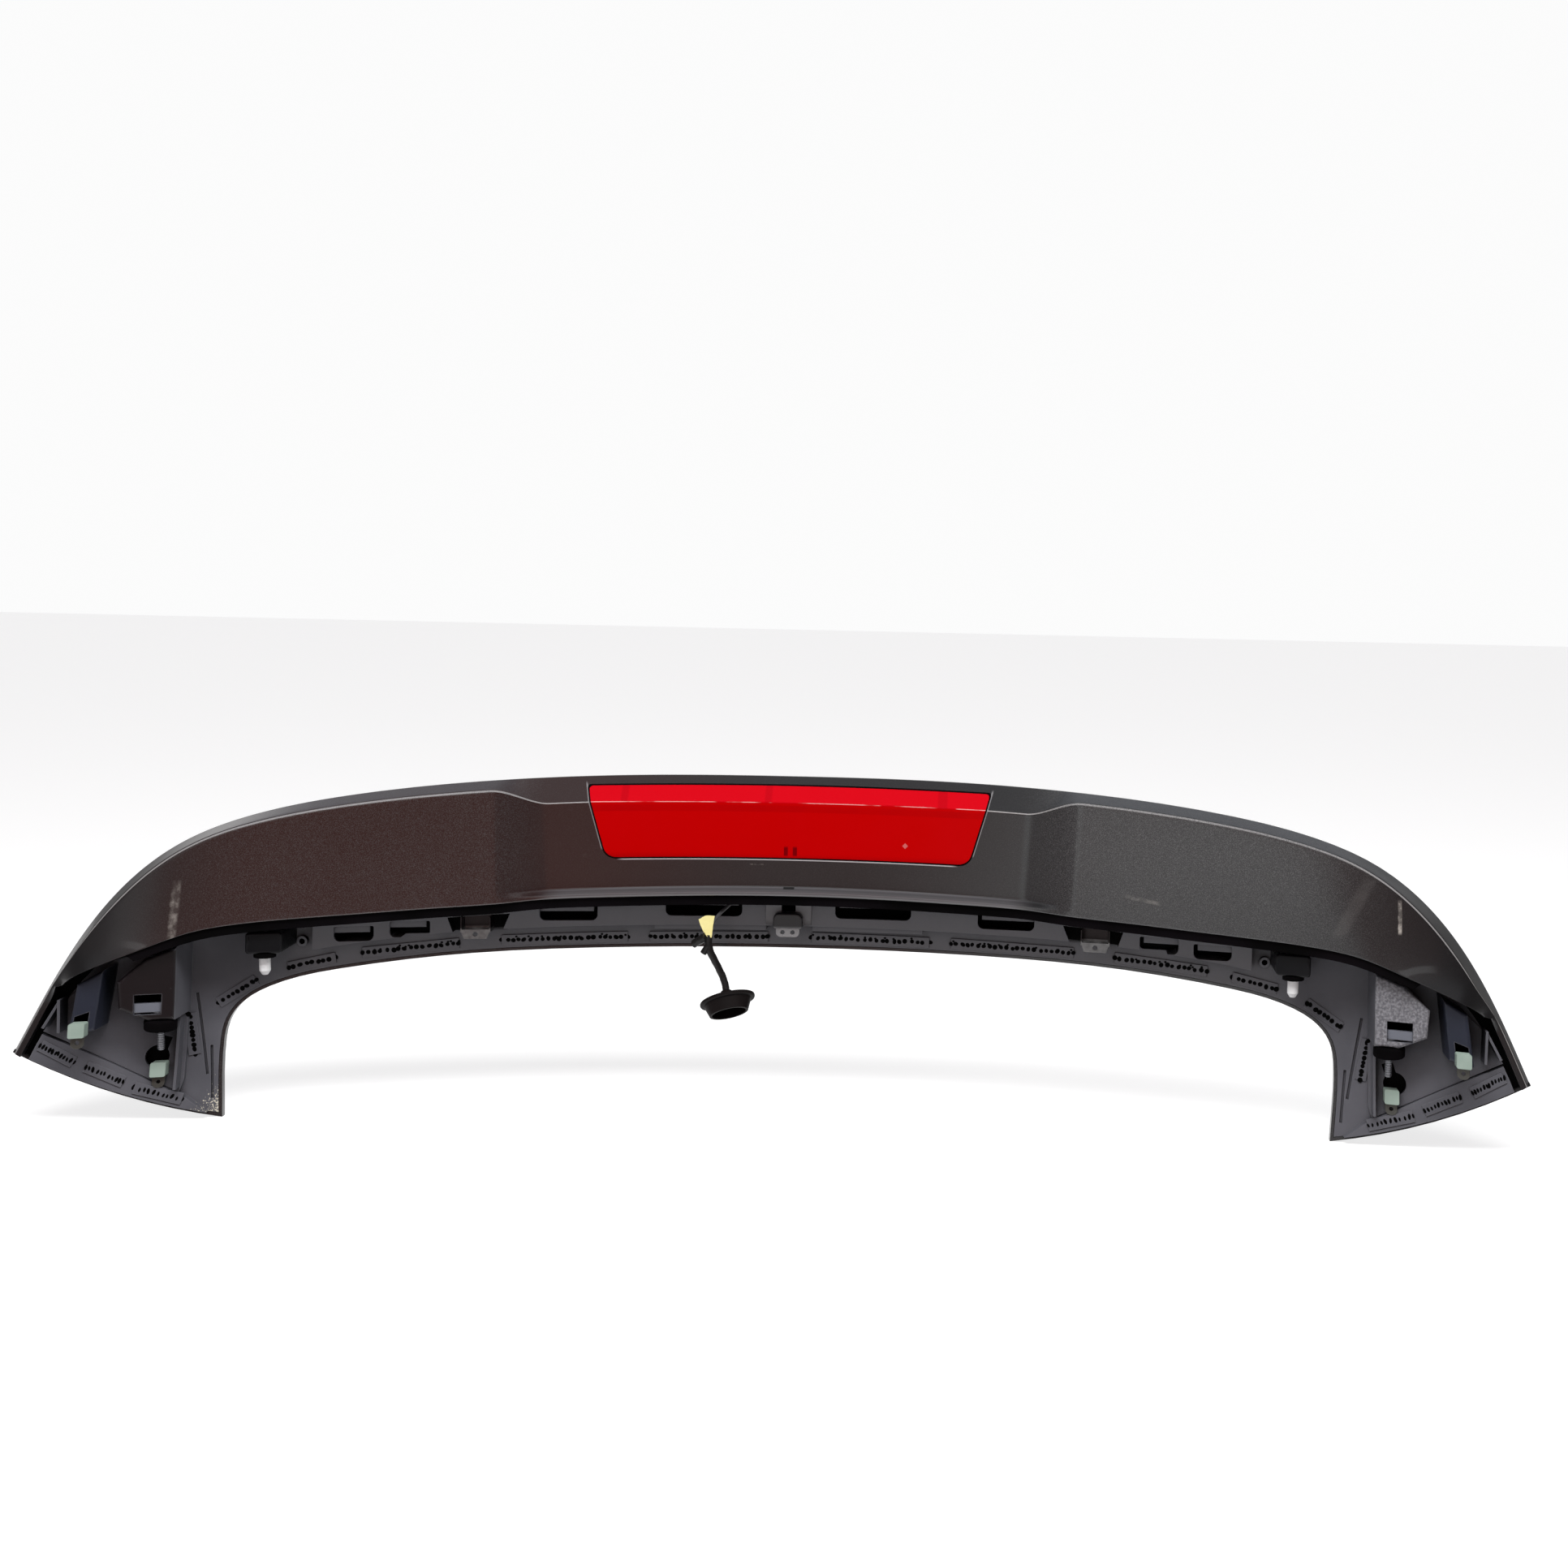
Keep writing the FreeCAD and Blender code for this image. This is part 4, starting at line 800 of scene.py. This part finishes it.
# %% [markdown]
# ## A smooth rear panel
# Gloss paint shows every kink of a surface, so the panel is drawn again with closely spaced
# sections. Each section lies in a plane across the top edge: from the top edge A along the
# strip to the crease C, down the panel to B, over the ledge to E and the lip L, and back
# inside to R. Towards the middle the crease dips and the ledge grows: that is the recess
# of the lamp. The top edge and the lip are drawn through a few points each.

# %% Smooth lines through a few points
TOP_EDGE = [(0, 0), (125, -0.9), (250, -6.6), (370, -19.3), (447.5, -35.7), (493.5, -54.2),
            (524, -75.1), (554, -106.3), (583, -151), (613.5, -217), (624, -242)]
LIP = [(0, -98.0), (74, -98.8), (149, -100.8), (205, -103), (231, -105), (252, -106.6),
       (290, -108.8), (347, -112.4), (402, -115.5), (446, -119), (478, -124.5), (511, -136),
       (545, -149), (575, -166), (592, -185)]


def smooth_line(half, count=8000):
    """Many x and z along the natural cubic line through half an outline and its mirror image."""
    points = np.array([(-x, z) for x, z in reversed(half) if x > 0] + list(half), float)
    steps = np.hypot(*np.diff(points, axis=0).T)
    at = np.concatenate(([0.0], np.cumsum(steps)))
    system, wanted = np.eye(len(points)), np.zeros((len(points), 2))
    for i in range(1, len(points) - 1):
        a, b = steps[i - 1], steps[i]
        system[i, i - 1:i + 2] = a, 2 * (a + b), b
        wanted[i] = 6 * ((points[i + 1] - points[i]) / b - (points[i] - points[i - 1]) / a)
    bend = np.linalg.solve(system, wanted)
    s = np.linspace(0, at[-1], count)
    k = np.clip(np.searchsorted(at, s) - 1, 0, len(steps) - 1)
    t = ((s - at[k]) / steps[k])[:, None]
    scale = (steps[k] ** 2 / 6)[:, None]
    line = (1 - t) * points[k] + t * points[k + 1]
    line += scale * (((1 - t) ** 3 - (1 - t)) * bend[k] + (t ** 3 - t) * bend[k + 1])
    return line.T


top_x, top_z = smooth_line(TOP_EDGE)
lip_x, lip_z = smooth_line(LIP)
top_slope = np.gradient(top_z, top_x)
print("top edge from", round(top_x[0], 1), "to", round(top_x[-1], 1))

# %% [markdown]
# ### One section
# Two things change along the panel, each eased between two places: wing is 0 in the
# recess and 1 beside it, and rim is 1 at the very ends, where the panel runs out into a
# narrow rim. The pairs below hold a size in the recess and beside it.

# %% One section
PANEL_T = 3.0
RECESS, RIM_X, WING_END = (203.0, 250.0), (574, 597), (450, 560)
CREASE_N, CREASE_OUT, LIP_OUT = (20, 5), (22, 28), (45, 50)
RIM_CREASE_N, RIM_CREASE_OUT, RIM_LIP_OUT, RIM_LIP_N = 4, 12, 13, 9.0
LIP_END = 590
DOWN = np.linspace(0, 120, 4801)


def ease(x, low, high):
    t = min(max((x - low) / (high - low), 0.0), 1.0)
    return t * t * (3 - 2 * t)


def blend(a, b, t):
    return a + (b - a) * t


def between(p, q, t):
    return tuple(blend(a, b, t) for a, b in zip(p, q))


class Section:
    """Corners of the panel in one plane: n down from the top edge, y in depth."""

    def __init__(self, x):
        slope = np.interp(x, top_x, top_slope)
        self.x, self.z = x, np.interp(x, top_x, top_z)
        self.nx, self.nz = slope / hypot(1, slope), -1 / hypot(1, slope)
        a = abs(x)
        wing, rim = ease(a, *RECESS), ease(a, *RIM_X)
        crease_n = blend(blend(*CREASE_N, wing) + 4 * ease(a, *WING_END), RIM_CREASE_N, rim)
        crease = blend(blend(*CREASE_OUT, wing), RIM_CREASE_OUT, rim)
        lip = blend(blend(*LIP_OUT, wing), RIM_LIP_OUT, rim)
        lip_n = self.lip_distance() if a < LIP_END else RIM_LIP_N
        self.r = 5.0 - 2.8 * rim
        self.A = (0.0, self.y(0.0) - 0.1)
        self.C = (crease_n, self.y(crease_n) - crease)
        self.L = (lip_n, self.y(lip_n) - lip)
        ledge_n, edge_n = lip_n - 5.5, lip_n - 3.5
        self.B = between((ledge_n, self.y(ledge_n) - 34), between(self.C, self.L, 0.90), wing)
        self.E = between((edge_n, self.y(edge_n) - 45), between(self.C, self.L, 0.95), wing)
        self.R = (lip_n, self.L[1] + 7.5)
        self.R2 = (lip_n - 2.6, self.R[1])
        self.B2 = (self.B[0] + 0.6 - 1.6 * wing, self.B[1] + PANEL_T)

    def y(self, n):
        """The depth of the skin, n down from the top edge."""
        return skin_depth(self.x + n * self.nx, self.z + n * self.nz)

    def lip_distance(self):
        """How far down from the top edge the lip is."""
        x, z = self.x + DOWN * self.nx, self.z + DOWN * self.nz
        above = (np.abs(x) < LIP_END + 1) & (z > np.interp(x, lip_x, lip_z))
        return max(RIM_LIP_N, DOWN[np.argmin(above)])

    def inner(self, d):
        """The crease and the top edge, d below the surface."""
        u, w = direction(self.A, self.C), direction(self.C, self.B)
        share = d / (1 + u[0] * w[0] + u[1] * w[1])
        c = (self.C[0] - (u[1] + w[1]) * share, self.C[1] + (u[0] + w[0]) * share)
        k = (c[1] - self.A[1]) / u[1]
        return c, (c[0] - u[0] * k, self.A[1])

    def at(self, p):
        return in_frame(self.x + p[0] * self.nx, p[1], self.z + p[0] * self.nz)


def direction(p, q):
    size = hypot(q[0] - p[0], q[1] - p[1])
    return (q[0] - p[0]) / size, (q[1] - p[1]) / size


middle = Section(0.0)
print("crease in the middle:", [round(c, 1) for c in middle.C])
print("lip in the middle:", [round(c, 1) for c in middle.L])

# %% [markdown]
# ### From sections to a shell
# A section is a chain of straight lines. Real mouldings have no sharp corners, so each
# corner is replaced by a short curve, and long straight runs get extra points: the cuts
# that follow then leave no long thin faces. A shell joins the chains of all sections, and
# a prism with the outline of an opening is taken away from it.

# %% Rounded chains
def soften(corners, radii, steps, spans):
    """A closed chain with rounded corners. spans is how many pieces the run after a corner has."""
    out, ends = [], []
    count = len(corners)
    for i, p in enumerate(corners):
        before, after = corners[i - 1], corners[(i + 1) % count]
        u, w = direction(p, before), direction(p, after)
        turn = pi - abs(atan2(u[0] * w[1] - u[1] * w[0], u[0] * w[0] + u[1] * w[1]))
        room = min(hypot(p[0] - q[0], p[1] - q[1]) for q in (before, after))
        reach = min(radii[i] * tan(turn / 2), 0.45 * room)
        arc = []
        for k in range(steps + 1):
            t = k / steps
            back, on = reach * (1 - t) ** 2, reach * t ** 2
            arc.append((p[0] + u[0] * back + w[0] * on, p[1] + u[1] * back + w[1] * on))
        ends.append(arc if radii[i] else [p])
    for i, arc in enumerate(ends):
        out += arc
        start = ends[(i + 1) % count][0]
        out += [between(arc[-1], start, k / spans[i]) for k in range(1, spans[i])]
    return out


square = [(0, 0), (10, 0), (10, 10), (0, 10)]
print("a rounded square:", len(soften(square, [2, 2, 2, 2], 6, [1, 1, 1, 1])), "points")

# %% Shells and cuts
CUT_NEAR, CUT_FAR = -300.0, 160.0


def side_faces(rings, around):
    """The faces between neighbouring rings of points."""
    return [(i * around + k, i * around + (k + 1) % around,
             (i + 1) * around + (k + 1) % around, (i + 1) * around + k)
            for i in range(rings - 1) for k in range(around)]


def sweep(sections, chain):
    """Vertices and faces of the closed shell through one chain per section."""
    verts = [section.at(p) for section in sections for p in chain(section)]
    around = len(verts) // len(sections)
    ends = [tuple(range(around)), tuple(reversed(range(len(verts) - around, len(verts))))]
    return verts, side_faces(len(sections), around) + ends


def outward(mesh):
    """Turns the faces of a closed shell so that their normals point out."""
    work = bmesh.new()
    work.from_mesh(mesh)
    bmesh.ops.recalc_face_normals(work, faces=work.faces)
    work.to_mesh(mesh)
    work.free()


def cut(piece, verts, faces, operation):
    """Changes a piece by a closed shell."""
    mesh = bpy.data.meshes.new("cutter")
    mesh.from_pydata(verts, [], faces)
    outward(mesh)
    outward(piece.data)
    cutter = added("cutter", mesh)
    change = piece.modifiers.new("cut", "BOOLEAN")
    change.object, change.operation, change.solver = cutter, operation, "EXACT"
    bpy.context.view_layer.update()
    graph = bpy.context.evaluated_depsgraph_get()
    result = bpy.data.meshes.new_from_object(piece.evaluated_get(graph))
    piece.modifiers.clear()
    piece.data = result
    bpy.data.objects.remove(cutter)
    result.shade_smooth()
    result.set_sharp_from_angle(angle=radians(SHARP))


def prism(outline):
    """A closed shell with the outline in x and z that passes through the whole part."""
    count = len(outline)
    verts = [in_frame(x, y, z) for y in (CUT_NEAR, CUT_FAR) for x, z in outline]
    ends = [tuple(reversed(range(count))), tuple(range(count, 2 * count))]
    return verts, side_faces(2, count) + ends


print("sweep and cut ready")

# %% [markdown]
# ### Openings and ends
# The lamp outline is a trapezoid with bowed edges and rounded corners. The same outline
# cuts the panel and, a little smaller, bounds the lens. The leg ends are cut by an arc.

# %% Outlines of the lamp and the leg ends
LAMP_R_TOP, LAMP_R_LOW, LAMP_BOW_TOP, LAMP_BOW_LOW = 3.0, 14.0, 2.2, 1.6
LEG_END, BELOW_LEG = [(440, -282.4), (543.5, -254.7), (640, -202.4)], -420.0


def lamp_outline(d):
    """The outline of the lamp, d inside the opening of the panel."""
    high = LAMP_TOP_Z - LAMP_LOW_Z
    slope = (LAMP_TOP_X - LAMP_LOW_X) / high
    side = d * hypot(1, slope)
    top, low = LAMP_TOP_X - side - slope * d, LAMP_LOW_X - side + slope * d
    top_z, low_z, low_r = LAMP_TOP_Z - d, LAMP_LOW_Z + d, LAMP_R_LOW - d
    corners = [(-top, top_z), (top, top_z), (low, low_z), (-low, low_z)]
    chain = soften(corners, [LAMP_R_TOP, LAMP_R_TOP, low_r, low_r], 8, [40, 8, 40, 8])
    out = []
    for x, z in chain:
        share = (z - LAMP_LOW_Z) / high
        bow_top, bow_low = LAMP_BOW_TOP * (1 - (x / top) ** 2), LAMP_BOW_LOW * (1 - (x / low) ** 2)
        out.append((x, z + share * bow_top + (1 - share) * bow_low))
    return list(reversed(out))


def leg_outline(side):
    """What is cut off below the arc of a leg's end."""
    (x0, z0), (x1, z1), (x2, z2) = LEG_END
    arc = []
    for k in range(41):
        t = k / 40
        bow = 4 * t * (1 - t)
        x, z = x0 + (x2 - x0) * t, z0 + (z2 - z0) * t
        arc.append((x + bow * (x1 - (x0 + x2) / 2), z + bow * (z1 - (z0 + z2) / 2)))
    outline = arc + [(x2, BELOW_LEG), (x0, BELOW_LEG)]
    return list(reversed(outline)) if side > 0 else [(-x, z) for x, z in outline]


print("lamp outline:", len(lamp_outline(0.0)), "points")

# %% [markdown]
# ### Panel and lens
# Sections stand close together where the shape changes: beside the recess and at the ends.
# The faces in the middle of the rounded crease get the pale paint, a painted
# highlight. The lens has sections of its own in the same planes, so it follows the crease
# of the panel with an even gap.

# %% Panel
ROUNDING = 6
CREASE_LINE = (6, 7)


def spread(low, high, step):
    return list(np.arange(low, high, step))


half_x = spread(4, 200, 4) + spread(200, 256, 2) + spread(256, 548, 4) + spread(548, 621, 2)
section_x = [-x for x in reversed(half_x)] + [0.0] + half_x
sections = [Section(x) for x in section_x]


def panel_chain(s):
    c, a = s.inner(min(PANEL_T, s.r - 0.6))
    corners = [s.A, s.C, s.B, s.E, s.L, s.R, s.R2, s.B2, c, a]
    radii = [0, s.r, 4.0, 2.5, 1.2, 0, 0, 0, 1.5, 0]
    return soften(corners, radii, ROUNDING, [4, 12, 1, 1, 2, 1, 1, 6, 2, 1])


panel = new_piece("rear_panel_shell", *sweep(sections, panel_chain), "metallic_paint", "paint")
panel.data.materials.append(finishes["crease_highlight_paint"])
ring = len(panel_chain(middle))
for number, face in enumerate(panel.data.polygons):
    if number % ring in CREASE_LINE and len(face.vertices) == 4:
        face.material_index = 1
cut(panel, *prism(lamp_outline(0.0)), "DIFFERENCE")
for side in (1, -1):
    cut(panel, *prism(leg_outline(side)), "DIFFERENCE")
even_shading(panel)
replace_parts(panel, "rear_panel")
print("panel", len(panel.data.polygons), "faces")

# %% Lens
LENS_T, LENS_GAP, LENS_REACH = 2.5, 1.25, 190


def lens_chain(s):
    c, a = s.inner(LENS_T)
    u = direction(s.C, s.B)
    back = (s.B[0] - u[1] * LENS_T, s.B[1] + u[0] * LENS_T)
    corners = [s.A, s.C, s.B, back, c, a]
    return soften(corners, [0, 2.4, 0, 0, 1.0, 0], ROUNDING, [4, 12, 1, 6, 2, 1])


lens_sections = [s for s in sections if abs(s.x) < LENS_REACH]
lens = new_piece("lamp_lens_shell", *sweep(lens_sections, lens_chain), "red_lens", "lens_red")
cut(lens, *prism(lamp_outline(LENS_GAP)), "INTERSECT")
even_shading(lens)
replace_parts(lens, "lamp_lens")
print("lens", len(lens.data.polygons), "faces")

# %% [markdown]
# ## The wiring tail
# A thin lead comes out under the lip, disappears in a taped sleeve and ends in an oval
# rubber grommet. A flexible cord is one smooth line, so the route is a NURBS curve on a
# few listed points; everything on the cord follows points of that curve. The last
# run enters the grommet along its axis.

# %% Lead
LEAD_R = 1.5 * MM
LEAD = [(-30, 13, -64.1), (-30, 13, -72.9), (-31.5, 17.5, -80.4), (-36, 25.5, -88),
        (-46, 27, -106), (-62, 42, -119), (-65, 60, -137), (-54.5, 58, -156.5)]
LEAD_END, LEAD_RUN = (-46.3, 65.6, -175.2), 10.0
GROMMET_TILT, GROMMET_TIP = radians(15.0), radians(42.0)

tilt, tip = Matrix.Rotation(-GROMMET_TILT, 3, "Y"), Matrix.Rotation(-GROMMET_TIP, 3, "X")
grommet_up = tilt @ tip @ Vector((0, 0, 1))
end = place(*LEAD_END)
route = [place(*p) for p in LEAD] + [end + grommet_up * (LEAD_RUN * MM), end]


def nurbs(name, points, radius):
    """A round cord along a smooth line that the points pull."""
    data = bpy.data.curves.new(name, "CURVE")
    data.dimensions = "3D"
    data.bevel_depth = radius
    data.bevel_resolution = 5
    data.resolution_u = 16
    line = data.splines.new("NURBS")
    line.points.add(len(points) - 1)
    for slot, p in zip(line.points, points):
        slot.co = (*p, 1.0)
    line.order_u = 3
    line.use_endpoint_u = True
    return added(name, data)


def traced(points):
    """Points along the smooth line of the route."""
    thin = nurbs("trace", points, 0.0)
    bpy.context.view_layer.update()
    mesh = bpy.data.meshes.new_from_object(thin)
    out = [v.co.copy() for v in mesh.vertices]
    bpy.data.objects.remove(thin)
    return out


lead_line = traced(route)
lead = nurbs("lamp_wire", route, LEAD_R)
lead.data.materials.append(finishes["wire_grey"])
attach(lead, "root")
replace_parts(lead, "lamp_lead")

# %% [markdown]
# ### Sleeve and tape ends
# The sleeve is cloth tape wound round the lead: a tube whose radius steps down a little at
# each turn and tapers at the top. Two loose ends of the same tape stick out beside it.

# %% Sleeve
SLEEVE_TOP, SLEEVE_R = -131.0, 3.35
WIND, WIND_STEP = 8.5, 0.22
TAPER, TAPER_RUN = 0.25, 30
CLOTH_ANGLE = 50.0


def evenly(line, step):
    """Points along a line, one step apart."""
    out = [line[0]]
    for p in line[1:]:
        while (p - out[-1]).length > step:
            out.append(out[-1] + (p - out[-1]).normalized() * step)
    return out


def tube(line, radius, around=20):
    """A closed tube along a line. radius depends on the length so far and the angle, in mm."""
    verts = []
    side = Vector((1, 0, 0))
    length = 0.0
    for i, p in enumerate(line):
        way = (line[min(i + 1, len(line) - 1)] - line[max(i - 1, 0)]).normalized()
        side = (side - way * side.dot(way)).normalized()
        other = way.cross(side)
        length += (p - line[max(i - 1, 0)]).length / MM
        for k in range(around):
            a = 2 * pi * k / around
            verts.append(p + (side * cos(a) + other * sin(a)) * (radius(length, a) * MM))
    ends = [tuple(reversed(range(around))), tuple(range(len(verts) - around, len(verts)))]
    return verts, side_faces(len(line), around) + ends


def wound(length, a):
    turn = (length / WIND - a / (2 * pi)) % 1.0
    uneven = 0.1 * noise.noise((length / 6, cos(a), sin(a)))
    return SLEEVE_R - TAPER * min(length / TAPER_RUN, 1.0) - WIND_STEP * turn + uneven


sleeve_line = evenly([p for p in lead_line if p.z < TOP_Z + SLEEVE_TOP * MM], 0.0005)
sleeve = new_piece("lead_sleeve_shell", *tube(sleeve_line, wound), "sleeve_cloth", "sleeve_tape",
                   CLOTH_ANGLE)
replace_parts(sleeve, "lead_sleeve")
print("sleeve", len(sleeve.data.polygons), "faces")

# %% Tape ends
ENDS = [((-66, 57, -131), (-77, 51, -138.5), 3.6), ((-63.5, 58, -138), (-68, 57, -145.5), 3.2)]


def frayed(r):
    """The radius of a loose end, a little flat and uneven."""
    return lambda s, t: r * (1 - 0.12 * cos(2 * t)) + 0.3 * noise.noise((s / 3, cos(t), r))


end_verts, end_faces = [], []
for a, b, r in ENDS:
    verts, faces = tube(evenly([place(*a), place(*b)], 0.0008), frayed(r), 16)
    end_faces += [tuple(i + len(end_verts) for i in f) for f in faces]
    end_verts += verts
tape_ends = new_piece("sleeve_tape_ends", end_verts, end_faces, "sleeve_cloth", "sleeve_tape",
                      CLOTH_ANGLE)
print("tape ends", len(end_faces), "faces")

# %% [markdown]
# ### Yellow flag
# A strip of paper tape is folded round the sleeve and its ends stick out as a flag. It is
# a flat outline, cut into small triangles so that noise can crease it, with a second layer
# behind. Cloth simulation would be slower and no better on a piece this small.

# %% Yellow flag
FLAG = [(-11.4, -8.5), (-7, -13), (1.2, -14), (2, -5),
        (3.5, 8.5), (-0.6, 8.3), (-5.2, 2.6), (-8.8, -3)]
FLAG_AT, FLAG_OUT, FLAG_T = 0.45, 2.2, 0.25
FOLDS, WRINKLES, FOLD_MM = 160, 420, 1.1

tape_a, tape_b = place(*LEAD[5]), place(*LEAD[6])
along = (tape_b - tape_a).normalized()
across = (Vector((1, 0, 0)) - along * along.x).normalized()
facing = along.cross(across)
flag_mid = tape_a + (tape_b - tape_a) * FLAG_AT + facing * (FLAG_OUT * MM)
work = bmesh.new()
work.faces.new([work.verts.new(flag_mid + (across * i + along * j) * MM) for i, j in FLAG])
bmesh.ops.triangulate(work, faces=work.faces)
for _ in range(3):
    bmesh.ops.subdivide_edges(work, edges=work.edges, cuts=1, use_grid_fill=True)
for v in work.verts:
    crease = abs(noise.noise(v.co * FOLDS)) + 0.5 * noise.noise(v.co * WRINKLES)
    v.co += facing * (crease * FOLD_MM * MM)
work.verts.index_update()
flag_verts = [v.co.copy() for v in work.verts]
flag_faces = [[v.index for v in f.verts] for f in work.faces]
work.free()
count = len(flag_verts)
flag_faces += [[i + count for i in reversed(f)] for f in flag_faces]
flag_verts += [v - facing * (FLAG_T * MM) for v in flag_verts]
flag = new_piece("lead_tape_flag", flag_verts, flag_faces, "yellow_tape", "yellow_tape", 180.0)
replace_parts(flag, "lead_tape")
print("flag", len(flag_faces), "faces")

# %% [markdown]
# ## Weld marks
# The carrier is welded to the skin through rows of small melt points. On the run they are
# round dots, and beside some of them sits a second, smaller one. At the leg ends they are
# slanted slots. Sizes and places wander, as melted plastic does, so they are drawn from a
# seeded generator.

# %% Weld marks
# start, end and pitch of each row
SLOT_ROWS = [((594, -216), (570, -231), 2.4), ((561, -235), (533, -249), 2.9),
             ((525, -254), (489, -265), 3.6)]
LEG_ROWS = [((490.2, -198.5), (484.2, -231.6), 3.6), ((469, -191), (441, -173), 4.0),
            ((417, -164), (380, -157), 4.6)]
RUN_ROWS = [((359, -153.5), (281, -147), 4.7), ((246, -145), (140, -142), 4.8),
            ((121, -142), (19, -140.7), 5.0)]
DOT_R, SLOT_R, SMALL_R = 2.0, (2.2, 1.05), (1.1, 0.9)
RINGS, ROUND = ((1.0, 0.03), (0.8, 0.1175), (0.4, 0.135)), 12
PEAK = 0.14
draw = random.Random(7)
on_carrier = front_of("carrier")
mark_verts, mark_faces = [], []


def weld_mark(x, z, rx, rz, turn):
    at, normal = on_carrier(x, z)
    if at is None:
        return
    along = Vector((cos(turn), 0, sin(turn)))
    across = normal.cross(along).normalized()
    along = across.cross(normal)
    base, last = len(mark_verts), (len(RINGS) - 1) * ROUND
    for share, lift in RINGS:
        for k in range(ROUND):
            a = 2 * pi * k / ROUND
            spread_out = along * (rx * share * cos(a)) + across * (rz * share * sin(a))
            mark_verts.append(at + (spread_out + normal * lift) * MM)
    mark_verts.append(at + normal * PEAK * MM)
    faces = side_faces(len(RINGS), ROUND)
    faces += [(last + k, last + (k + 1) % ROUND, last + ROUND) for k in range(ROUND)]
    mark_faces.extend(tuple(base + i for i in face) for face in faces)


for side in (1, -1):
    for row in SLOT_ROWS + LEG_ROWS + RUN_ROWS:
        (ax, az), (bx, bz), pitch = row
        count = int(hypot(bx - ax, bz - az) / pitch)
        for i in range(count + 1):
            t = (i + draw.uniform(-0.2, 0.2)) / count
            x, z = side * blend(ax, bx, t), blend(az, bz, t) + draw.uniform(-0.5, 0.5)
            size = draw.uniform(0.8, 1.2)
            if row in SLOT_ROWS:
                slant = pi / 2 + side * draw.uniform(0.2, 0.7)
                weld_mark(x, z, SLOT_R[0] * size, SLOT_R[1] * size, slant)
            else:
                weld_mark(x, z, DOT_R * size, DOT_R * draw.uniform(0.8, 1.1), draw.uniform(0, pi))
            if row in RUN_ROWS and draw.random() < 0.35:
                weld_mark(x + draw.uniform(-2, 2), z + draw.uniform(1.5, 2.6), *SMALL_R, 0.0)

new_piece("weld_marks", mark_verts, mark_faces, "weld_black", "carrier_plastic", 60.0)
print("weld marks:", len(mark_verts) // (len(RINGS) * ROUND + 1))
